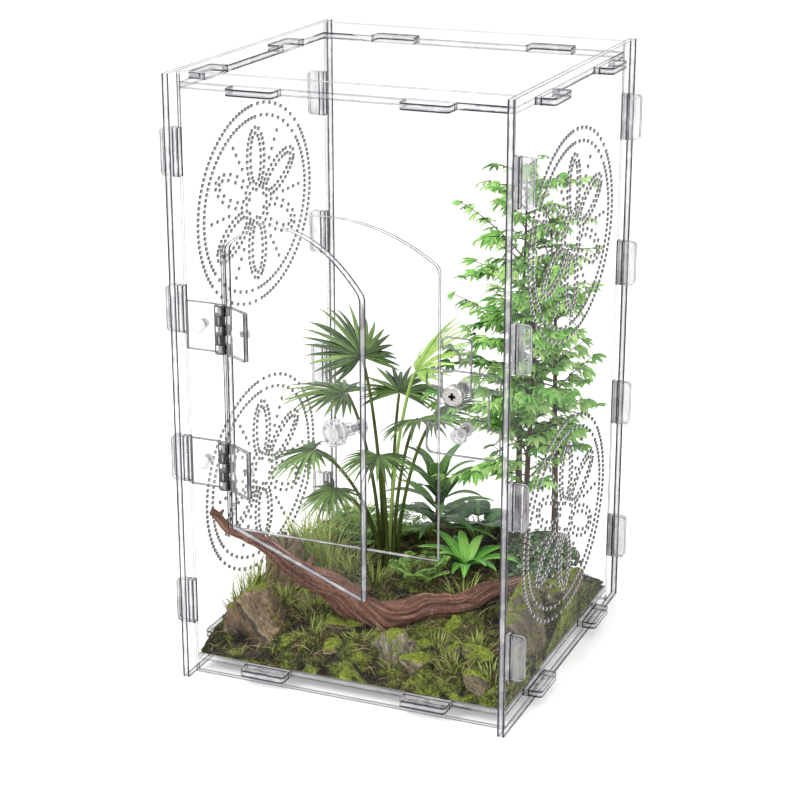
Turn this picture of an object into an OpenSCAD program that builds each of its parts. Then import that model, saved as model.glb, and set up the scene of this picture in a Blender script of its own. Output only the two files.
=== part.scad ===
// Reptile terrarium: a tall clear acrylic box with tab-and-slot joints, perforated vent
// medallions in its side panels, an arched door on two clear hinges, a turning latch hook,
// and a planted landscape on the base panel.
// Frame: origin on the floor under the middle of the box, +X to the right, +Y to the back,
// +Z up. The door stands open at rest.

/* [Enclosure] */
// Width over the outer faces of the side panels
box_w = 200; // [180:1:260]
// Depth of the side panels
box_d = 212; // [190:1:260]
// Height of the upright panels
box_h = 355; // [335:1:450]
// Thickness of the acrylic sheet
sheet = 4; // [3:0.5:5]
// Set-back of the front and back panels from the side panels' edges
wall_inset = 9; // [7:0.5:14]
// Drop of the top panel's upper face below the rim
top_drop = 6; // [3:0.5:12]
// Height of the base panel's underside above the floor
base_lift = 6; // [3:0.5:12]

/* [Tabs and slots] */
// Tabs along each upright edge
edge_tabs = 4; // [3:1:5]
// Length of a tab on an upright edge
edge_tab_len = 27; // [18:1:36]
// Length of a tab on the top or base panel
flat_tab_len = 28; // [18:1:36]
// Distance between the two tabs on each side of the top and base panels
flat_tab_pitch = 100; // [70:1:120]
// Stand-out of a tab past the outer face
tab_out = 7.5; // [3:0.5:9]
// Rounding of a tab's outer corners
tab_r = 2.5; // [1:0.5:3]
// Gap between a tab and its slot
slot_gap = 0.15; // [0.1:0.05:0.3]

/* [Vent medallions] */
// Half of a medallion's size along the depth
vent_a = 74; // [50:1:80]
// Half of a medallion's height
vent_b = 59; // [45:1:70]
// Height of the lower medallion's centre
vent_low_z = 92; // [80:1:100]
// Height of the upper medallion's centre
vent_high_z = 261; // [220:1:270]
// Diameter of a vent hole
vent_hole_d = 1.7; // [1:0.1:2.5]
// Distance between neighbouring vent holes
vent_pitch = 7.2; // [6:0.1:9]
// Distance between the two outer rings
vent_ring_gap = 7.3; // [5:0.1:10]
// Petals of the rosette
vent_petals = 6; // [4:1:8]

/* [Door] */
// Width of the doorway
doorway_w = 128.5; // [100:0.5:140]
// Middle of the doorway, to the right of the box's middle
doorway_x = -8.25; // [-12:0.25:0]
// Height of the doorway's sill
sill_z = 94.5; // [80:0.5:120]
// Height of the arch's centre
arch_z = 177.8; // [150:0.1:200]
// Radius of the arch
arch_r = 105; // [90:0.5:130]
// Rounding between the arch and the upright sides
shoulder_r = 6; // [3:0.5:10]
// Gap around the door
door_gap = 0.5; // [0.4:0.1:1.5]
// Angle at which the door stands open at rest
door_rest_deg = 31; // [0:1:90]

/* [Hinges] */
// Height of a hinge
hinge_h = 27.7; // [20:0.1:36]
// Middle of the upper hinge
hinge_high_z = 214.3; // [205:0.1:235]
// Middle of the lower hinge
hinge_low_z = 133.7; // [120:0.1:150]
// Width of a leaf, measured from the pin
leaf_w = 22; // [18:0.5:24]
// Thickness of a leaf
leaf_t = 3; // [2:0.5:3.5]
// Diameter of the barrel
barrel_d = 7; // [6.5:0.5:8]
// Knuckles in a hinge
knuckles = 5; // [3:2:7]
// Gap between neighbouring knuckles
knuckle_gap = 0.25; // [0.15:0.05:0.5]
// Clearance between the barrel and the sheets
barrel_lift = 0.3; // [0.2:0.05:1]
// Diameter of the hinge pin
pin_d = 3; // [2:0.1:4]
// Radial clearance of a turning fit
run_gap = 0.05; // [0.03:0.01:0.1]
// Distance of a rivet from the pin
rivet_x = 14.5; // [12:0.5:17]
// Diameter of a rivet's head
rivet_head_d = 9; // [6:0.5:10]
// Height of a rivet's head
rivet_head_h = 1.6; // [1:0.1:2.5]
// Diameter of a rivet's shank
rivet_d = 3.2; // [2.5:0.1:4]
// Diameter of a rivet's tail
rivet_tail_d = 6; // [5:0.5:8]
// Height of a rivet's tail
rivet_tail_h = 1; // [0.5:0.1:1.5]

/* [Knob] */
// Distance of the knob from the hinge pin
knob_reach = 120.8; // [115:0.1:121]
// Height of the knob
knob_z = 190; // [188:0.5:191]
// Diameter of the knob's head
knob_d = 14; // [13.5:0.5:18]
// Length of the knob's head
knob_len = 7.6; // [5:0.1:12]
// Diameter of the knob's shank
shank_d = 7; // [5:0.5:8]
// Length of the knob's shank
shank_len = 7.4; // [4.5:0.1:10]
// Diameter of the stud through the door
stud_d = 3; // [2.5:0.1:3.5]
// Diameter of the knob's nut
knob_nut_d = 7.6; // [6:0.1:8]
// Height of the knob's nut
knob_nut_h = 3; // [2:0.1:4]

/* [Latch] */
// Distance of the latch screw from the box's middle
latch_x = 67.3; // [66:0.1:69]
// Height of the latch screw
latch_z = 194.4; // [193:0.1:196]
// Width of the hook
hook_w = 16.6; // [15:0.1:18]
// Length of the hook above its pivot
hook_len = 30.6; // [28:0.1:34]
// Thickness of the hook
hook_t = 3; // [2:0.1:3.5]
// Width of the hook's notch
notch_w = 13.4; // [9:0.1:13.4]
// Diameter of the latch screw
latch_bolt_d = 4; // [3:0.1:4.5]
// Diameter of the latch screw's head
latch_head_d = 11.3; // [9:0.1:14]
// Height of the latch screw's head
latch_head_h = 5.3; // [3:0.1:7]
// Gap on each face of the hook
hook_gap = 0.15; // [0.1:0.05:0.3]
// Width of the latch plate
plate_w = 42.4; // [38:0.1:44]
// Height of the latch plate
plate_h = 48; // [44:0.5:52]
// Thickness of the latch plate
plate_t = 3; // [2:0.1:4]
// Middle of the latch plate, across
plate_x = 68.6; // [68:0.1:70]
// Middle of the latch plate, up
plate_z = 180.3; // [179:0.1:182]
// Depth of the waist on each side of the latch plate
waist_depth = 6.6; // [6.6:0.1:8]
// Height of the waist
waist_h = 20.8; // [20.8:0.1:24]
// Height of the waist's middle above the plate's middle
waist_up = 3.4; // [3:0.1:4]
// Rounding of the latch plate's corners
plate_r = 4; // [2:0.5:5]
// Distance of the plate screw below the latch screw
plate_screw_drop = 23.4; // [20:0.1:26]
// Distance of the plate screw to the right of the latch screw
plate_screw_side = 2.2; // [0:0.1:4]
// Diameter of the plate screw's head
plate_head_d = 9.4; // [7:0.1:11]
// Height of the plate screw's head
plate_head_h = 5; // [3:0.1:7]
// Width of a nut across its flats
nut_flats = 7; // [6:0.1:8]
// Height of a nut
nut_h = 3; // [2:0.1:4]
// Length of a screw past its nut
bolt_tail = 1; // [0:0.1:3]

/* [Moss bed] */
// Height of the bed above the base panel at the front
bed_front = 11; // [6:0.5:20]
// Height of the bed above the base panel at the back
bed_back = 27; // [15:0.5:40]
// Height of the bed's hummocks
hummock = 3; // [0:0.1:5]
// Gap between the bed and the walls
bed_gap = 0.3; // [0.2:0.1:2]
// Gap around what stands in the bed
plant_gap = 0.3; // [0.2:0.1:1]

/* [Rocks and wood] */
// Size of the large front left rock: width, depth, height
big_rock = [48, 40, 38]; // [20:1:70]
// Size of the small mossy rock
small_rock = [26, 24, 25]; // [15:1:40]
// Size of the centre rock
mid_rock = [40, 30, 27]; // [20:1:60]
// Size of the right rock
right_rock = [24, 66, 52]; // [20:1:70]
// Diameter of the stump at its middle
stump_d = 28; // [20:1:45]
// Height of the stump above the base panel
stump_h = 44; // [30:1:52]
// Diameter of the driftwood at its thickest
drift_d = 18.5; // [8:0.5:20]

/* [Plants] */
// Diameter of a palm stem
palm_stem_d = 2.2; // [1.4:0.1:3.5]
// Leaflets of a palm fan
fan_leaflets = 13; // [9:2:17]
// Thickness of the leaves
leaf_th = 0.6; // [0.4:0.1:1.2]
// Height of the shrubs above the bed
shrub_h = 245; // [150:1:280]
// Diameter of a shrub trunk at its foot
shrub_d = 5; // [3:0.1:8]
// Leaf sprays on each shrub trunk
shrub_sprays = 12; // [5:1:12]
// Length of a shrub's longest spray
spray_len = 52; // [25:1:60]
// Length of a fern frond
fern_len = 30; // [15:1:40]

/* [Hidden] */
$fn = 48;
cut = 1;                                    // overshoot of a cutting tool

in_x = box_w / 2 - sheet;                   // inner face of a side panel
in_y = box_d / 2 - wall_inset - sheet;      // inner face of the front and back panels
front_y = -in_y - sheet;                    // outer face of the front panel
base_top = base_lift + sheet;               // upper face of the base panel
roof_z = box_h - top_drop - sheet;          // underside of the top panel
flat_zs = [base_lift, roof_z];              // undersides of the two flat panels
tab_root = 2;                               // a tab's overlap with its panel
slot_t = sheet + 2 * slot_gap;              // width of a slot
edge_tab_zs = [for (i = [0.5 : edge_tabs]) box_h * i / edge_tabs];

barrel_r = barrel_d / 2;
doorway_left = doorway_x - doorway_w / 2;
hinge_x = doorway_left + 1;                 // the pin stands just inside the doorway's edge
hinge_y = front_y - barrel_r - barrel_lift; // and in front of the panel
hinge_zs = [hinge_low_z, hinge_high_z];
leaf_start = barrel_r + 0.7;                // inner edge of a leaf's plate
knob_x = hinge_x + knob_reach;
bolt_hole_gap = 0.1;                        // clearance of a screw in a panel

// ---------------------------------------------------------------- sheet helpers

// Child outlines, drawn across and up, become a sheet whose front face is at y
module upright(y, thick) {
  translate([0, y + thick, 0])
    rotate([90, 0, 0])
      linear_extrude(thick) children();
}

// A bar from the origin along +X with two rounded outer corners
module tab(len, reach) {
  translate([-tab_root, -len / 2])
    square([tab_root + reach - tab_r, len]);
  translate([-tab_root, tab_r - len / 2])
    square([tab_root + reach, len - 2 * tab_r]);
  for (s = [-1, 1])
    translate([reach - tab_r, s * (len / 2 - tab_r)])
      circle(tab_r);
}

module slot(len) {
  square([len + 2 * slot_gap, slot_t], center = true);
}

module rounded_rect(size, r) {
  square([size[0] - 2 * r, size[1]], center = true);
  square([size[0], size[1] - 2 * r], center = true);
  for (sx = [-1, 1])
    for (sy = [-1, 1])
      translate([sx * (size[0] / 2 - r), sy * (size[1] / 2 - r)])
        circle(r);
}

// Child objects, drawn with the door shut, swing to the door's rest angle
module door_pose() {
  translate([hinge_x, hinge_y, 0])
    rotate([0, 0, -door_rest_deg])
      translate([-hinge_x, -hinge_y, 0]) children();
}

// ---------------------------------------------------------------- vent medallions

// Perimeter of an ellipse, by the usual close approximation
function ellipse_len(a, b) = PI * (3 * (a + b) - sqrt((3 * a + b) * (a + 3 * b)));
function hole_count(a, b) = max(6, round(ellipse_len(a, b) / vent_pitch));

// Holes on an ellipse
module hole_ring(a, b) {
  n = hole_count(a, b);
  for (i = [0 : n - 1])
    translate([a * cos(360 * i / n), b * sin(360 * i / n)])
      circle(d = vent_hole_d, $fn = 16);
}

// Two rings round a rosette of looped petals, with a short dart between petals
module medallion() {
  ia = vent_a - vent_ring_gap;
  ib = vent_b - vent_ring_gap;
  hole_ring(vent_a, vent_b);
  hole_ring(ia, ib);
  scale_b = ib / ia;
  petal_len = ia * 0.36;
  petal_wid = ia * 0.17;
  petal_mid = ia * 0.52;
  n = hole_count(petal_len, petal_wid);
  for (k = [0 : vent_petals - 1])
    for (i = [0 : n - 1]) {
      u = petal_mid + petal_len * cos(360 * i / n);
      v = petal_wid * sin(360 * i / n);
      turn = 360 * (k + 0.5) / vent_petals;
      translate([u * cos(turn) - v * sin(turn), scale_b * (u * sin(turn) + v * cos(turn))])
        circle(d = vent_hole_d, $fn = 16);
    }
  for (k = [0 : vent_petals - 1])
    for (i = [0 : 3]) {
      u = ia * 0.86 - i * vent_pitch;
      turn = 360 * k / vent_petals;
      translate([u * cos(turn), scale_b * u * sin(turn)])
        circle(d = vent_hole_d, $fn = 16);
    }
}

// ---------------------------------------------------------------- enclosure panels

module side_sheet() {
  difference() {
    translate([-box_d / 2, 0])
      square([box_d, box_h]);
    for (s = [-1, 1])
      for (z = edge_tab_zs)
        translate([s * (in_y + sheet / 2), z])
          rotate(90) slot(edge_tab_len);
    for (s = [-1, 1])
      for (z = flat_zs)
        translate([s * flat_tab_pitch / 2, z + sheet / 2])
          slot(flat_tab_len);
    for (z = [vent_low_z, vent_high_z])
      translate([0, z]) medallion();
  }
}

module left_panel() {
  color("azure", 0.4)
    translate([-box_w / 2, 0, 0])
      rotate([90, 0, 90])
        linear_extrude(sheet) side_sheet();
}

module right_panel() {
  color("azure", 0.4)
    translate([in_x, 0, 0])
      rotate([90, 0, 90])
        linear_extrude(sheet) side_sheet();
}

// Outline of the front and back panels
module wall_sheet() {
  difference() {
    union() {
      translate([-in_x, 0])
        square([2 * in_x, box_h]);
      for (z = edge_tab_zs) {
        translate([in_x, z]) tab(edge_tab_len, sheet + tab_out);
        translate([-in_x, z]) rotate(180) tab(edge_tab_len, sheet + tab_out);
      }
    }
    for (s = [-1, 1])
      for (z = flat_zs)
        translate([s * flat_tab_pitch / 2, z + sheet / 2])
          slot(flat_tab_len);
  }
}

// The doorway, shrunk all round by a gap: upright sides, an arc, and a fillet where they meet
module doorway(gap) {
  w = doorway_w / 2 - gap;
  arc = arch_r - gap;
  r = shoulder_r - gap;
  dx = w - r;
  dz = sqrt((arc - r) * (arc - r) - dx * dx);
  far = 2;
  translate([doorway_x, 0]) {
    translate([-w, sill_z + gap])
      square([2 * w, arch_z + dz - sill_z - gap]);
    for (s = [-1, 1])
      translate([s * dx, arch_z + dz])
        circle(r);
    translate([0, arch_z])
      intersection() {
        circle(arc, $fn = 180);
        polygon([[0, 0], [far * dx, far * dz], [0, far * arc], [-far * dx, far * dz]]);
      }
  }
}

module front_panel() {
  color("azure", 0.4)
    upright(front_y, sheet)
      difference() {
        wall_sheet();
        doorway(0);
        translate([latch_x, latch_z])
          circle(latch_bolt_d / 2 + bolt_hole_gap);
        translate([latch_x + plate_screw_side, latch_z - plate_screw_drop])
          circle(latch_bolt_d / 2 + bolt_hole_gap);
        for (z = hinge_zs)
          translate([hinge_x - rivet_x, z])
            circle(d = rivet_d);
      }
}

module back_panel() {
  color("azure", 0.4)
    upright(in_y, sheet) wall_sheet();
}

// A flat panel with two tabs on each side
module flat_sheet() {
  square([2 * in_x, 2 * in_y], center = true);
  for (s = [-1, 1])
    for (side = [0, 180]) {
      rotate(side)
        translate([in_x, s * flat_tab_pitch / 2])
          tab(flat_tab_len, sheet + tab_out);
      rotate(side + 90)
        translate([in_y, s * flat_tab_pitch / 2])
          tab(flat_tab_len, sheet + tab_out);
    }
}

module top_panel() {
  color("azure", 0.4)
    translate([0, 0, roof_z])
      linear_extrude(sheet) flat_sheet();
}

module base_panel() {
  color("azure", 0.4)
    translate([0, 0, base_lift])
      linear_extrude(sheet) flat_sheet();
}

// ---------------------------------------------------------------- hinges

// One leaf, its pin at the origin and its plate towards +X. It carries every second knuckle,
// starting with the number first.
module hinge_leaf(first, bore_d) {
  pitch = hinge_h / knuckles;
  back = barrel_r + barrel_lift;
  difference() {
    union() {
      translate([leaf_start, back - leaf_t, -hinge_h / 2])
        cube([leaf_w - leaf_start, leaf_t, hinge_h]);
      for (k = [first : 2 : knuckles - 1])
        translate([0, 0, k * pitch - hinge_h / 2 + knuckle_gap / 2]) {
          cylinder(h = pitch - knuckle_gap, r = barrel_r);
          translate([0, back - leaf_t, 0])
            cube([leaf_start + 1, leaf_t - barrel_lift, pitch - knuckle_gap]);
        }
    }
    translate([0, 0, -hinge_h / 2 - cut])
      cylinder(h = hinge_h + 2 * cut, d = bore_d);
    translate([rivet_x, back + cut, 0])
      rotate([90, 0, 0])
        cylinder(h = leaf_t + 2 * cut, d = rivet_d);
  }
}

module frame_leaf(z) {
  color("aliceblue", 0.6)
    translate([hinge_x, hinge_y, z])
      mirror([1, 0, 0])
        hinge_leaf(0, pin_d);
}

module door_leaf(z) {
  color("aliceblue", 0.6)
    door_pose()
      translate([hinge_x, hinge_y, z])
        hinge_leaf(1, pin_d + 2 * run_gap);
}

module upper_hinge_frame_leaf() { frame_leaf(hinge_high_z); }
module lower_hinge_frame_leaf() { frame_leaf(hinge_low_z); }
module upper_hinge_door_leaf() { door_leaf(hinge_high_z); }
module lower_hinge_door_leaf() { door_leaf(hinge_low_z); }

module hinge_pins() {
  color("silver")
    for (z = hinge_zs)
      translate([hinge_x, hinge_y, z - hinge_h / 2])
        cylinder(h = hinge_h, d = pin_d);
}

// A rivet through a leaf and its sheet, its middle at the origin of the sheet's front face
module rivet() {
  rotate([90, 0, 0]) {
    translate([0, 0, leaf_t])
      rotate_extrude()
        intersection() {
          dome_r = (rivet_head_d * rivet_head_d / 4 + rivet_head_h * rivet_head_h)
                   / (2 * rivet_head_h);
          translate([0, rivet_head_h - dome_r])
            circle(dome_r, $fn = 96);
          square([rivet_head_d, rivet_head_h]);
        }
    translate([0, 0, -sheet])
      cylinder(h = sheet + leaf_t, d = rivet_d);
    translate([0, 0, -sheet - rivet_tail_h])
      cylinder(h = rivet_tail_h, d = rivet_tail_d);
  }
}

module frame_leaf_rivets() {
  color("whitesmoke")
    for (z = hinge_zs)
      translate([hinge_x - rivet_x, front_y, z]) rivet();
}

module door_leaf_rivets() {
  color("whitesmoke")
    door_pose()
      for (z = hinge_zs)
        translate([hinge_x + rivet_x, front_y, z]) rivet();
}

// ---------------------------------------------------------------- door

module door_panel() {
  color("azure", 0.4)
    door_pose()
      upright(front_y, sheet)
        difference() {
          doorway(door_gap);
          translate([knob_x, knob_z])
            circle(d = stud_d + 2 * bolt_hole_gap);
          for (z = hinge_zs)
            translate([hinge_x + rivet_x, z])
              circle(d = rivet_d);
        }
}

// Knob with a ring groove, a dished face and a stud through the door
module door_knob() {
  r = knob_d / 2;
  edge = 0.8;
  groove = 0.7;
  seam = shank_len + knob_len * 0.4;
  face = shank_len + knob_len;
  color("aliceblue", 0.7)
    door_pose()
      translate([knob_x, front_y, knob_z])
        rotate([90, 0, 0])
          rotate_extrude()
            polygon([
              [0, -sheet - knob_nut_h], [stud_d / 2, -sheet - knob_nut_h], [stud_d / 2, 0],
              [shank_d / 2, 0], [shank_d / 2, shank_len], [r - edge, shank_len],
              [r, shank_len + edge], [r, seam - groove], [r - groove, seam],
              [r, seam + groove], [r, face - edge], [r - edge, face],
              [r - 2 * edge, face], [r * 0.55, face - edge], [0, face - edge]
            ]);
}

module knob_nut() {
  color("aliceblue", 0.7)
    door_pose()
      translate([knob_x, front_y + sheet + knob_nut_h, knob_z])
        rotate([90, 0, 0])
          difference() {
            cylinder(h = knob_nut_h, d = knob_nut_d);
            translate([0, 0, -cut])
              cylinder(h = knob_nut_h + 2 * cut, d = stud_d);
          }
}

// ---------------------------------------------------------------- latch

// The hook stands upright at rest. Turned a quarter turn to the left, its notch takes the
// knob's shank, so the notch's place follows from the knob's place.
module latch_hook() {
  notch = [knob_z - latch_z, latch_x - knob_x];
  corner = 2;
  color("aliceblue", 0.6)
    translate([latch_x, 0, latch_z])
      upright(front_y - hook_gap - hook_t, hook_t)
        difference() {
          union() {
            circle(d = hook_w);
            translate([-hook_w / 2, 0])
              square([hook_w, hook_len - corner]);
            translate([0, hook_len / 2])
              rounded_rect([hook_w, hook_len], corner);
          }
          translate(notch) {
            circle(d = notch_w);
            translate([-hook_w, -notch_w / 2])
              square([hook_w, notch_w]);
          }
          circle(d = latch_bolt_d + 2 * run_gap);
        }
}

module latch_plate() {
  color("aliceblue", 0.6)
    upright(front_y + sheet, plate_t)
      difference() {
        translate([plate_x, plate_z])
          difference() {
            rounded_rect([plate_w, plate_h], plate_r);
            for (s = [-1, 1])
              translate([s * plate_w / 2, waist_up])
                rounded_rect([2 * waist_depth, waist_h], plate_r * 0.6);
          }
        translate([latch_x, latch_z])
          circle(latch_bolt_d / 2 + bolt_hole_gap);
        translate([latch_x + plate_screw_side, latch_z - plate_screw_drop])
          circle(latch_bolt_d / 2 + bolt_hole_gap);
      }
}

screw_end = sheet + plate_t + nut_h + bolt_tail;   // from the panel's front face to a tip

// A metal pan-head screw with a cross recess, the hook's pivot
module latch_screw() {
  under = hook_t + 2 * hook_gap;
  arm = latch_head_d * 0.36;
  slot_w = 1.5;
  slot_deep = 1.6;
  top = under + latch_head_h;
  edge = 0.8;
  r = latch_head_d / 2;
  color("silver")
    translate([latch_x, front_y, latch_z])
      rotate([90, 0, 0])
        difference() {
          rotate_extrude()
            polygon([
              [0, -screw_end], [latch_bolt_d / 2, -screw_end], [latch_bolt_d / 2, under],
              [r, under], [r, top - edge], [r - edge, top], [0, top]
            ]);
          for (a = [0, 90])
            rotate(a)
              translate([-arm / 2, -slot_w / 2, top - slot_deep])
                cube([arm, slot_w, slot_deep + cut]);
        }
}

// A hexagon nut behind the latch plate
module nut() {
  rotate([90, 0, 0])
    translate([0, 0, -sheet - plate_t - nut_h])
      difference() {
        cylinder(h = nut_h, d = nut_flats / cos(30), $fn = 6);
        translate([0, 0, -cut])
          cylinder(h = nut_h + 2 * cut, d = latch_bolt_d);
      }
}

module latch_nut() {
  color("silver")
    translate([latch_x, front_y, latch_z]) nut();
}

// A clear screw with a dished head that holds the latch plate
module plate_screw() {
  r = plate_head_d / 2;
  dish = 0.8;
  color("aliceblue", 0.7)
    translate([latch_x + plate_screw_side, front_y, latch_z - plate_screw_drop])
      rotate([90, 0, 0])
        rotate_extrude()
          polygon([
            [0, -screw_end], [latch_bolt_d / 2, -screw_end], [latch_bolt_d / 2, 0],
            [r * 0.7, 0], [r * 0.7, plate_head_h * 0.45], [r, plate_head_h * 0.45],
            [r, plate_head_h - dish], [r - dish, plate_head_h], [r * 0.5, plate_head_h],
            [r * 0.3, plate_head_h - dish], [0, plate_head_h - dish]
          ]);
}

module plate_nut() {
  color("aliceblue", 0.7)
    translate([latch_x + plate_screw_side, front_y, latch_z - plate_screw_drop]) nut();
}

// ---------------------------------------------------------------- organic forms

function smooth(t) = let (c = min(1, max(0, t))) c * c * (3 - 2 * c);

// Upper surface of the moss bed: it rises to the back, less so on the left
function ground(x, y) =
  base_top + bed_front + (bed_back - bed_front) * smooth((y + in_y) / (1.2 * in_y))
  * (0.4 + 0.6 * smooth(1 + x / in_x))
  + hummock * (sin(3.1 * x + 40) * cos(3.7 * y - 20) + 0.5 * sin(7.3 * x - 5.1 * y));

// A closed solid through a list of rings with equal counts of points
module loft(rings) {
  n = len(rings[0]);
  last = len(rings) - 1;
  points = [for (ring = rings) each ring];
  sides = [
    for (k = [0 : last - 1])
      for (i = [0 : n - 1])
        let (j = (i + 1) % n, a = k * n, b = a + n)
          each [[a + i, b + i, b + j], [a + i, b + j, a + j]]
  ];
  bottom = [for (i = [0 : n - 1]) i];
  lid = [for (i = [n - 1 : -1 : 0]) last * n + i];
  polyhedron(points, concat([bottom, lid], sides), convexity = 6);
}

// Outline of a rock or stump at its foot: an ellipse with lobes
function lobed(size, seed, grow = 0, sides = 18) = [
  for (i = [0 : sides - 1])
    let (a = 360 * i / sides, f = 1 - 0.09 * (1 + sin(3 * a + seed)) - 0.05 * (1 + cos(5 * a - seed)))
      [(size[0] / 2 * f + grow) * cos(a), (size[1] / 2 * f + grow) * sin(a)]
];

// A rock with a flat foot: rings shrink towards a lopsided top
module rock(size, seed) {
  foot = lobed(size, seed);
  n = len(foot);
  rings = [
    for (t = [0, 0.25, 0.5, 0.72, 0.88, 0.97, 1])
      let (s = max(0.04, sqrt(1 - t * t * 0.998)))
        [for (i = [0 : n - 1])
          let (dent = 0.1 * t * (1 + sin(150 * t + 80 * i + seed)) / 2, f = s * (1 - dent))
            [foot[i][0] * f + 0.08 * t * size[0] * (1 - s),
             foot[i][1] * f,
             size[2] * t * (1 - 0.06 * (1 - t) * (1 + sin(60 * i + seed)))]]
  ];
  loft(rings);
}

// What a rock or stump needs in the moss bed: its foot with a gap, cut down to the base
module rock_pocket(size, seed) {
  translate([0, 0, -cut])
    linear_extrude(box_h)
      polygon([for (p = lobed(size, seed, plant_gap)) p]);
}

// A point on a smooth curve through a list of points; t runs from 0 to the last index
function curve(p, t) =
  let (
    last = len(p) - 1,
    i = min(last - 1, floor(t)),
    f = t - i,
    a = p[max(0, i - 1)],
    b = p[i],
    c = p[i + 1],
    d = p[min(last, i + 2)]
  )
  0.5 * (2 * b + (c - a) * f + (2 * a - 5 * b + 4 * c - d) * f * f
         + (3 * b - a - 3 * c + d) * f * f * f);

function unit(v) = v / norm(v);

// A tube round a path. across is a direction that the path never takes.
module tube(path, radii, sides, across) {
  last = len(path) - 1;
  rings = [
    for (k = [0 : last])
      let (
        way = unit(path[min(last, k + 1)] - path[max(0, k - 1)]),
        u = unit(cross(across, way)),
        v = cross(way, u)
      )
        [for (i = [0 : sides - 1])
          let (a = 360 * i / sides)
            path[k] + radii[k] * (cos(a) * u + sin(a) * v)]
  ];
  loft(rings);
}

// ---------------------------------------------------------------- places in the landscape

// The landscape is laid out for inner half sizes plan_x and plan_y and an outer height plan_h.
// Places follow the box's own sizes, breadths the smaller of the two shares, heights the third.
plan_x = 96;
plan_y = 93;
plan_h = 355;
fit = min(in_x / plan_x, in_y / plan_y);
tall = box_h / plan_h;

function laid(x, y) = [x * in_x / plan_x, y * in_y / plan_y];

big_rock_at = laid(-70, -67);
small_rock_at = laid(-54, -35);
mid_rock_at = laid(19, -71);
right_rock_at = laid(82, -24);
stump_at = laid(-77, -14);
palm_at = laid(-22, 20);
broadleaf_at = laid(0, 46);
cover_at = laid(67, 50);
cover_size = [50 * fit, 60 * fit, 16];
shrub_at = [laid(48, 60), laid(73, 58), laid(62, 34)];
fern_at = [laid(-52, 44), laid(10, -8), laid(-34, 58)];
strap_at = laid(28, 24);
round_leaf_at = laid(18, 70);
grass_at = [laid(-79, 22), laid(-60, 12), laid(-80, 48), laid(-70, 74)];
hole_deep = 8;                               // how deep a plant stands in the bed

function on_bed(p) = [p[0], p[1], ground(p[0], p[1])];

// Planting hole for a stem of diameter d
module planting_hole(p, d) {
  translate(on_bed(p) - [0, 0, hole_deep])
    cylinder(h = box_h, r = d / 2 + 2 * plant_gap, $fn = 12);
}

drift_points = [for (p = [
  [-90, -84, 97], [-79, -77, 85], [-54, -68, 69], [-29, -58, 50], [-4, -47, 33],
  [22, -33, 33.5], [43, -23, 38], [56, -6, 39.5], [64, 10, 38.5], [76, 22, 37]
]) concat(laid(p[0], p[1]), p[2])];
drift_thick = [0.26, 0.45, 0.75, 1, 1, 0.85, 0.75, 0.6, 0.45, 0.25];
drift_step = 0.25;
drift_ts = [0 : drift_step : len(drift_points) - 1];

module drift_tube(grow) {
  path = [for (t = drift_ts) curve(drift_points, t)];
  radii = [for (t = drift_ts)
    grow + drift_d / 2 * (curve([for (q = drift_thick) [q]], t)[0]) * (1 + 0.06 * sin(230 * t))];
  tube(path, radii, 10, [0, 1, 0]);
}

// ---------------------------------------------------------------- landscape

// Its children at their own size, joined as one mesh
module one_mesh() {
  resize([0, 0, 0]) children();
}

// A grid surface with a flat underside and upright sides
module bed_block() {
  n = 22;
  lx = in_x - bed_gap;
  ly = in_y - bed_gap;
  function px(i) = -lx + 2 * lx * i / n;
  function py(j) = -ly + 2 * ly * j / n;
  points = concat(
    [for (j = [0 : n]) for (i = [0 : n]) [px(i), py(j), ground(px(i), py(j))]],
    [for (j = [0 : n]) for (i = [0 : n]) [px(i), py(j), base_top]]
  );
  m = (n + 1) * (n + 1);
  w = n + 1;
  quads = [
    for (j = [0 : n - 1])
      for (i = [0 : n - 1])
        let (a = j * w + i)
          each [[a, a + w, a + w + 1], [a, a + w + 1, a + 1]]
  ];
  edge = concat(
    [for (i = [0 : n - 1]) i],
    [for (j = [0 : n - 1]) j * w + n],
    [for (i = [n : -1 : 1]) n * w + i],
    [for (j = [n : -1 : 1]) j * w]
  );
  walls = [
    for (k = [0 : len(edge) - 1])
      let (a = edge[k], b = edge[(k + 1) % len(edge)])
        each [[a, b, b + m], [a, b + m, a + m]]
  ];
  underside = [for (k = [0 : len(edge) - 1]) edge[k] + m];
  polyhedron(points, concat(quads, walls, [underside]), convexity = 4);
}

module moss_bed() {
  color("olivedrab")
    one_mesh()
    difference() {
      bed_block();
      translate(concat(big_rock_at, base_top)) rock_pocket(fit * big_rock, 20);
      translate(concat(small_rock_at, base_top)) rock_pocket(fit * small_rock, 75);
      translate(concat(mid_rock_at, base_top)) rock_pocket(fit * mid_rock, 140);
      translate(concat(right_rock_at, base_top)) rock_pocket(fit * right_rock, 250);
      translate(concat(stump_at, base_top))
        rock_pocket(stump_foot, 310);
      drift_tube(plant_gap);
      for (k = [0 : len(palm_leaves) - 1])
        planting_hole(palm_foot(k), palm_stem_d);
      planting_hole(palm_at, palm_stem_d);
      planting_hole(broadleaf_at, broadleaf_d);
      for (p = shrub_at)
        planting_hole(p, shrub_d);
    }
}

module large_rock() {
  color("dimgray")
    translate(concat(big_rock_at, base_top)) rock(fit * big_rock, 20);
}

module small_mossy_rock() {
  color("tan")
    translate(concat(small_rock_at, base_top)) rock(fit * small_rock, 75);
}

module centre_rock() {
  color("gray")
    translate(concat(mid_rock_at, base_top)) rock(fit * mid_rock, 140);
}

module right_rock() {
  color("gray")
    translate(concat(right_rock_at, base_top)) rock(fit * right_rock, 250);
}

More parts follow.
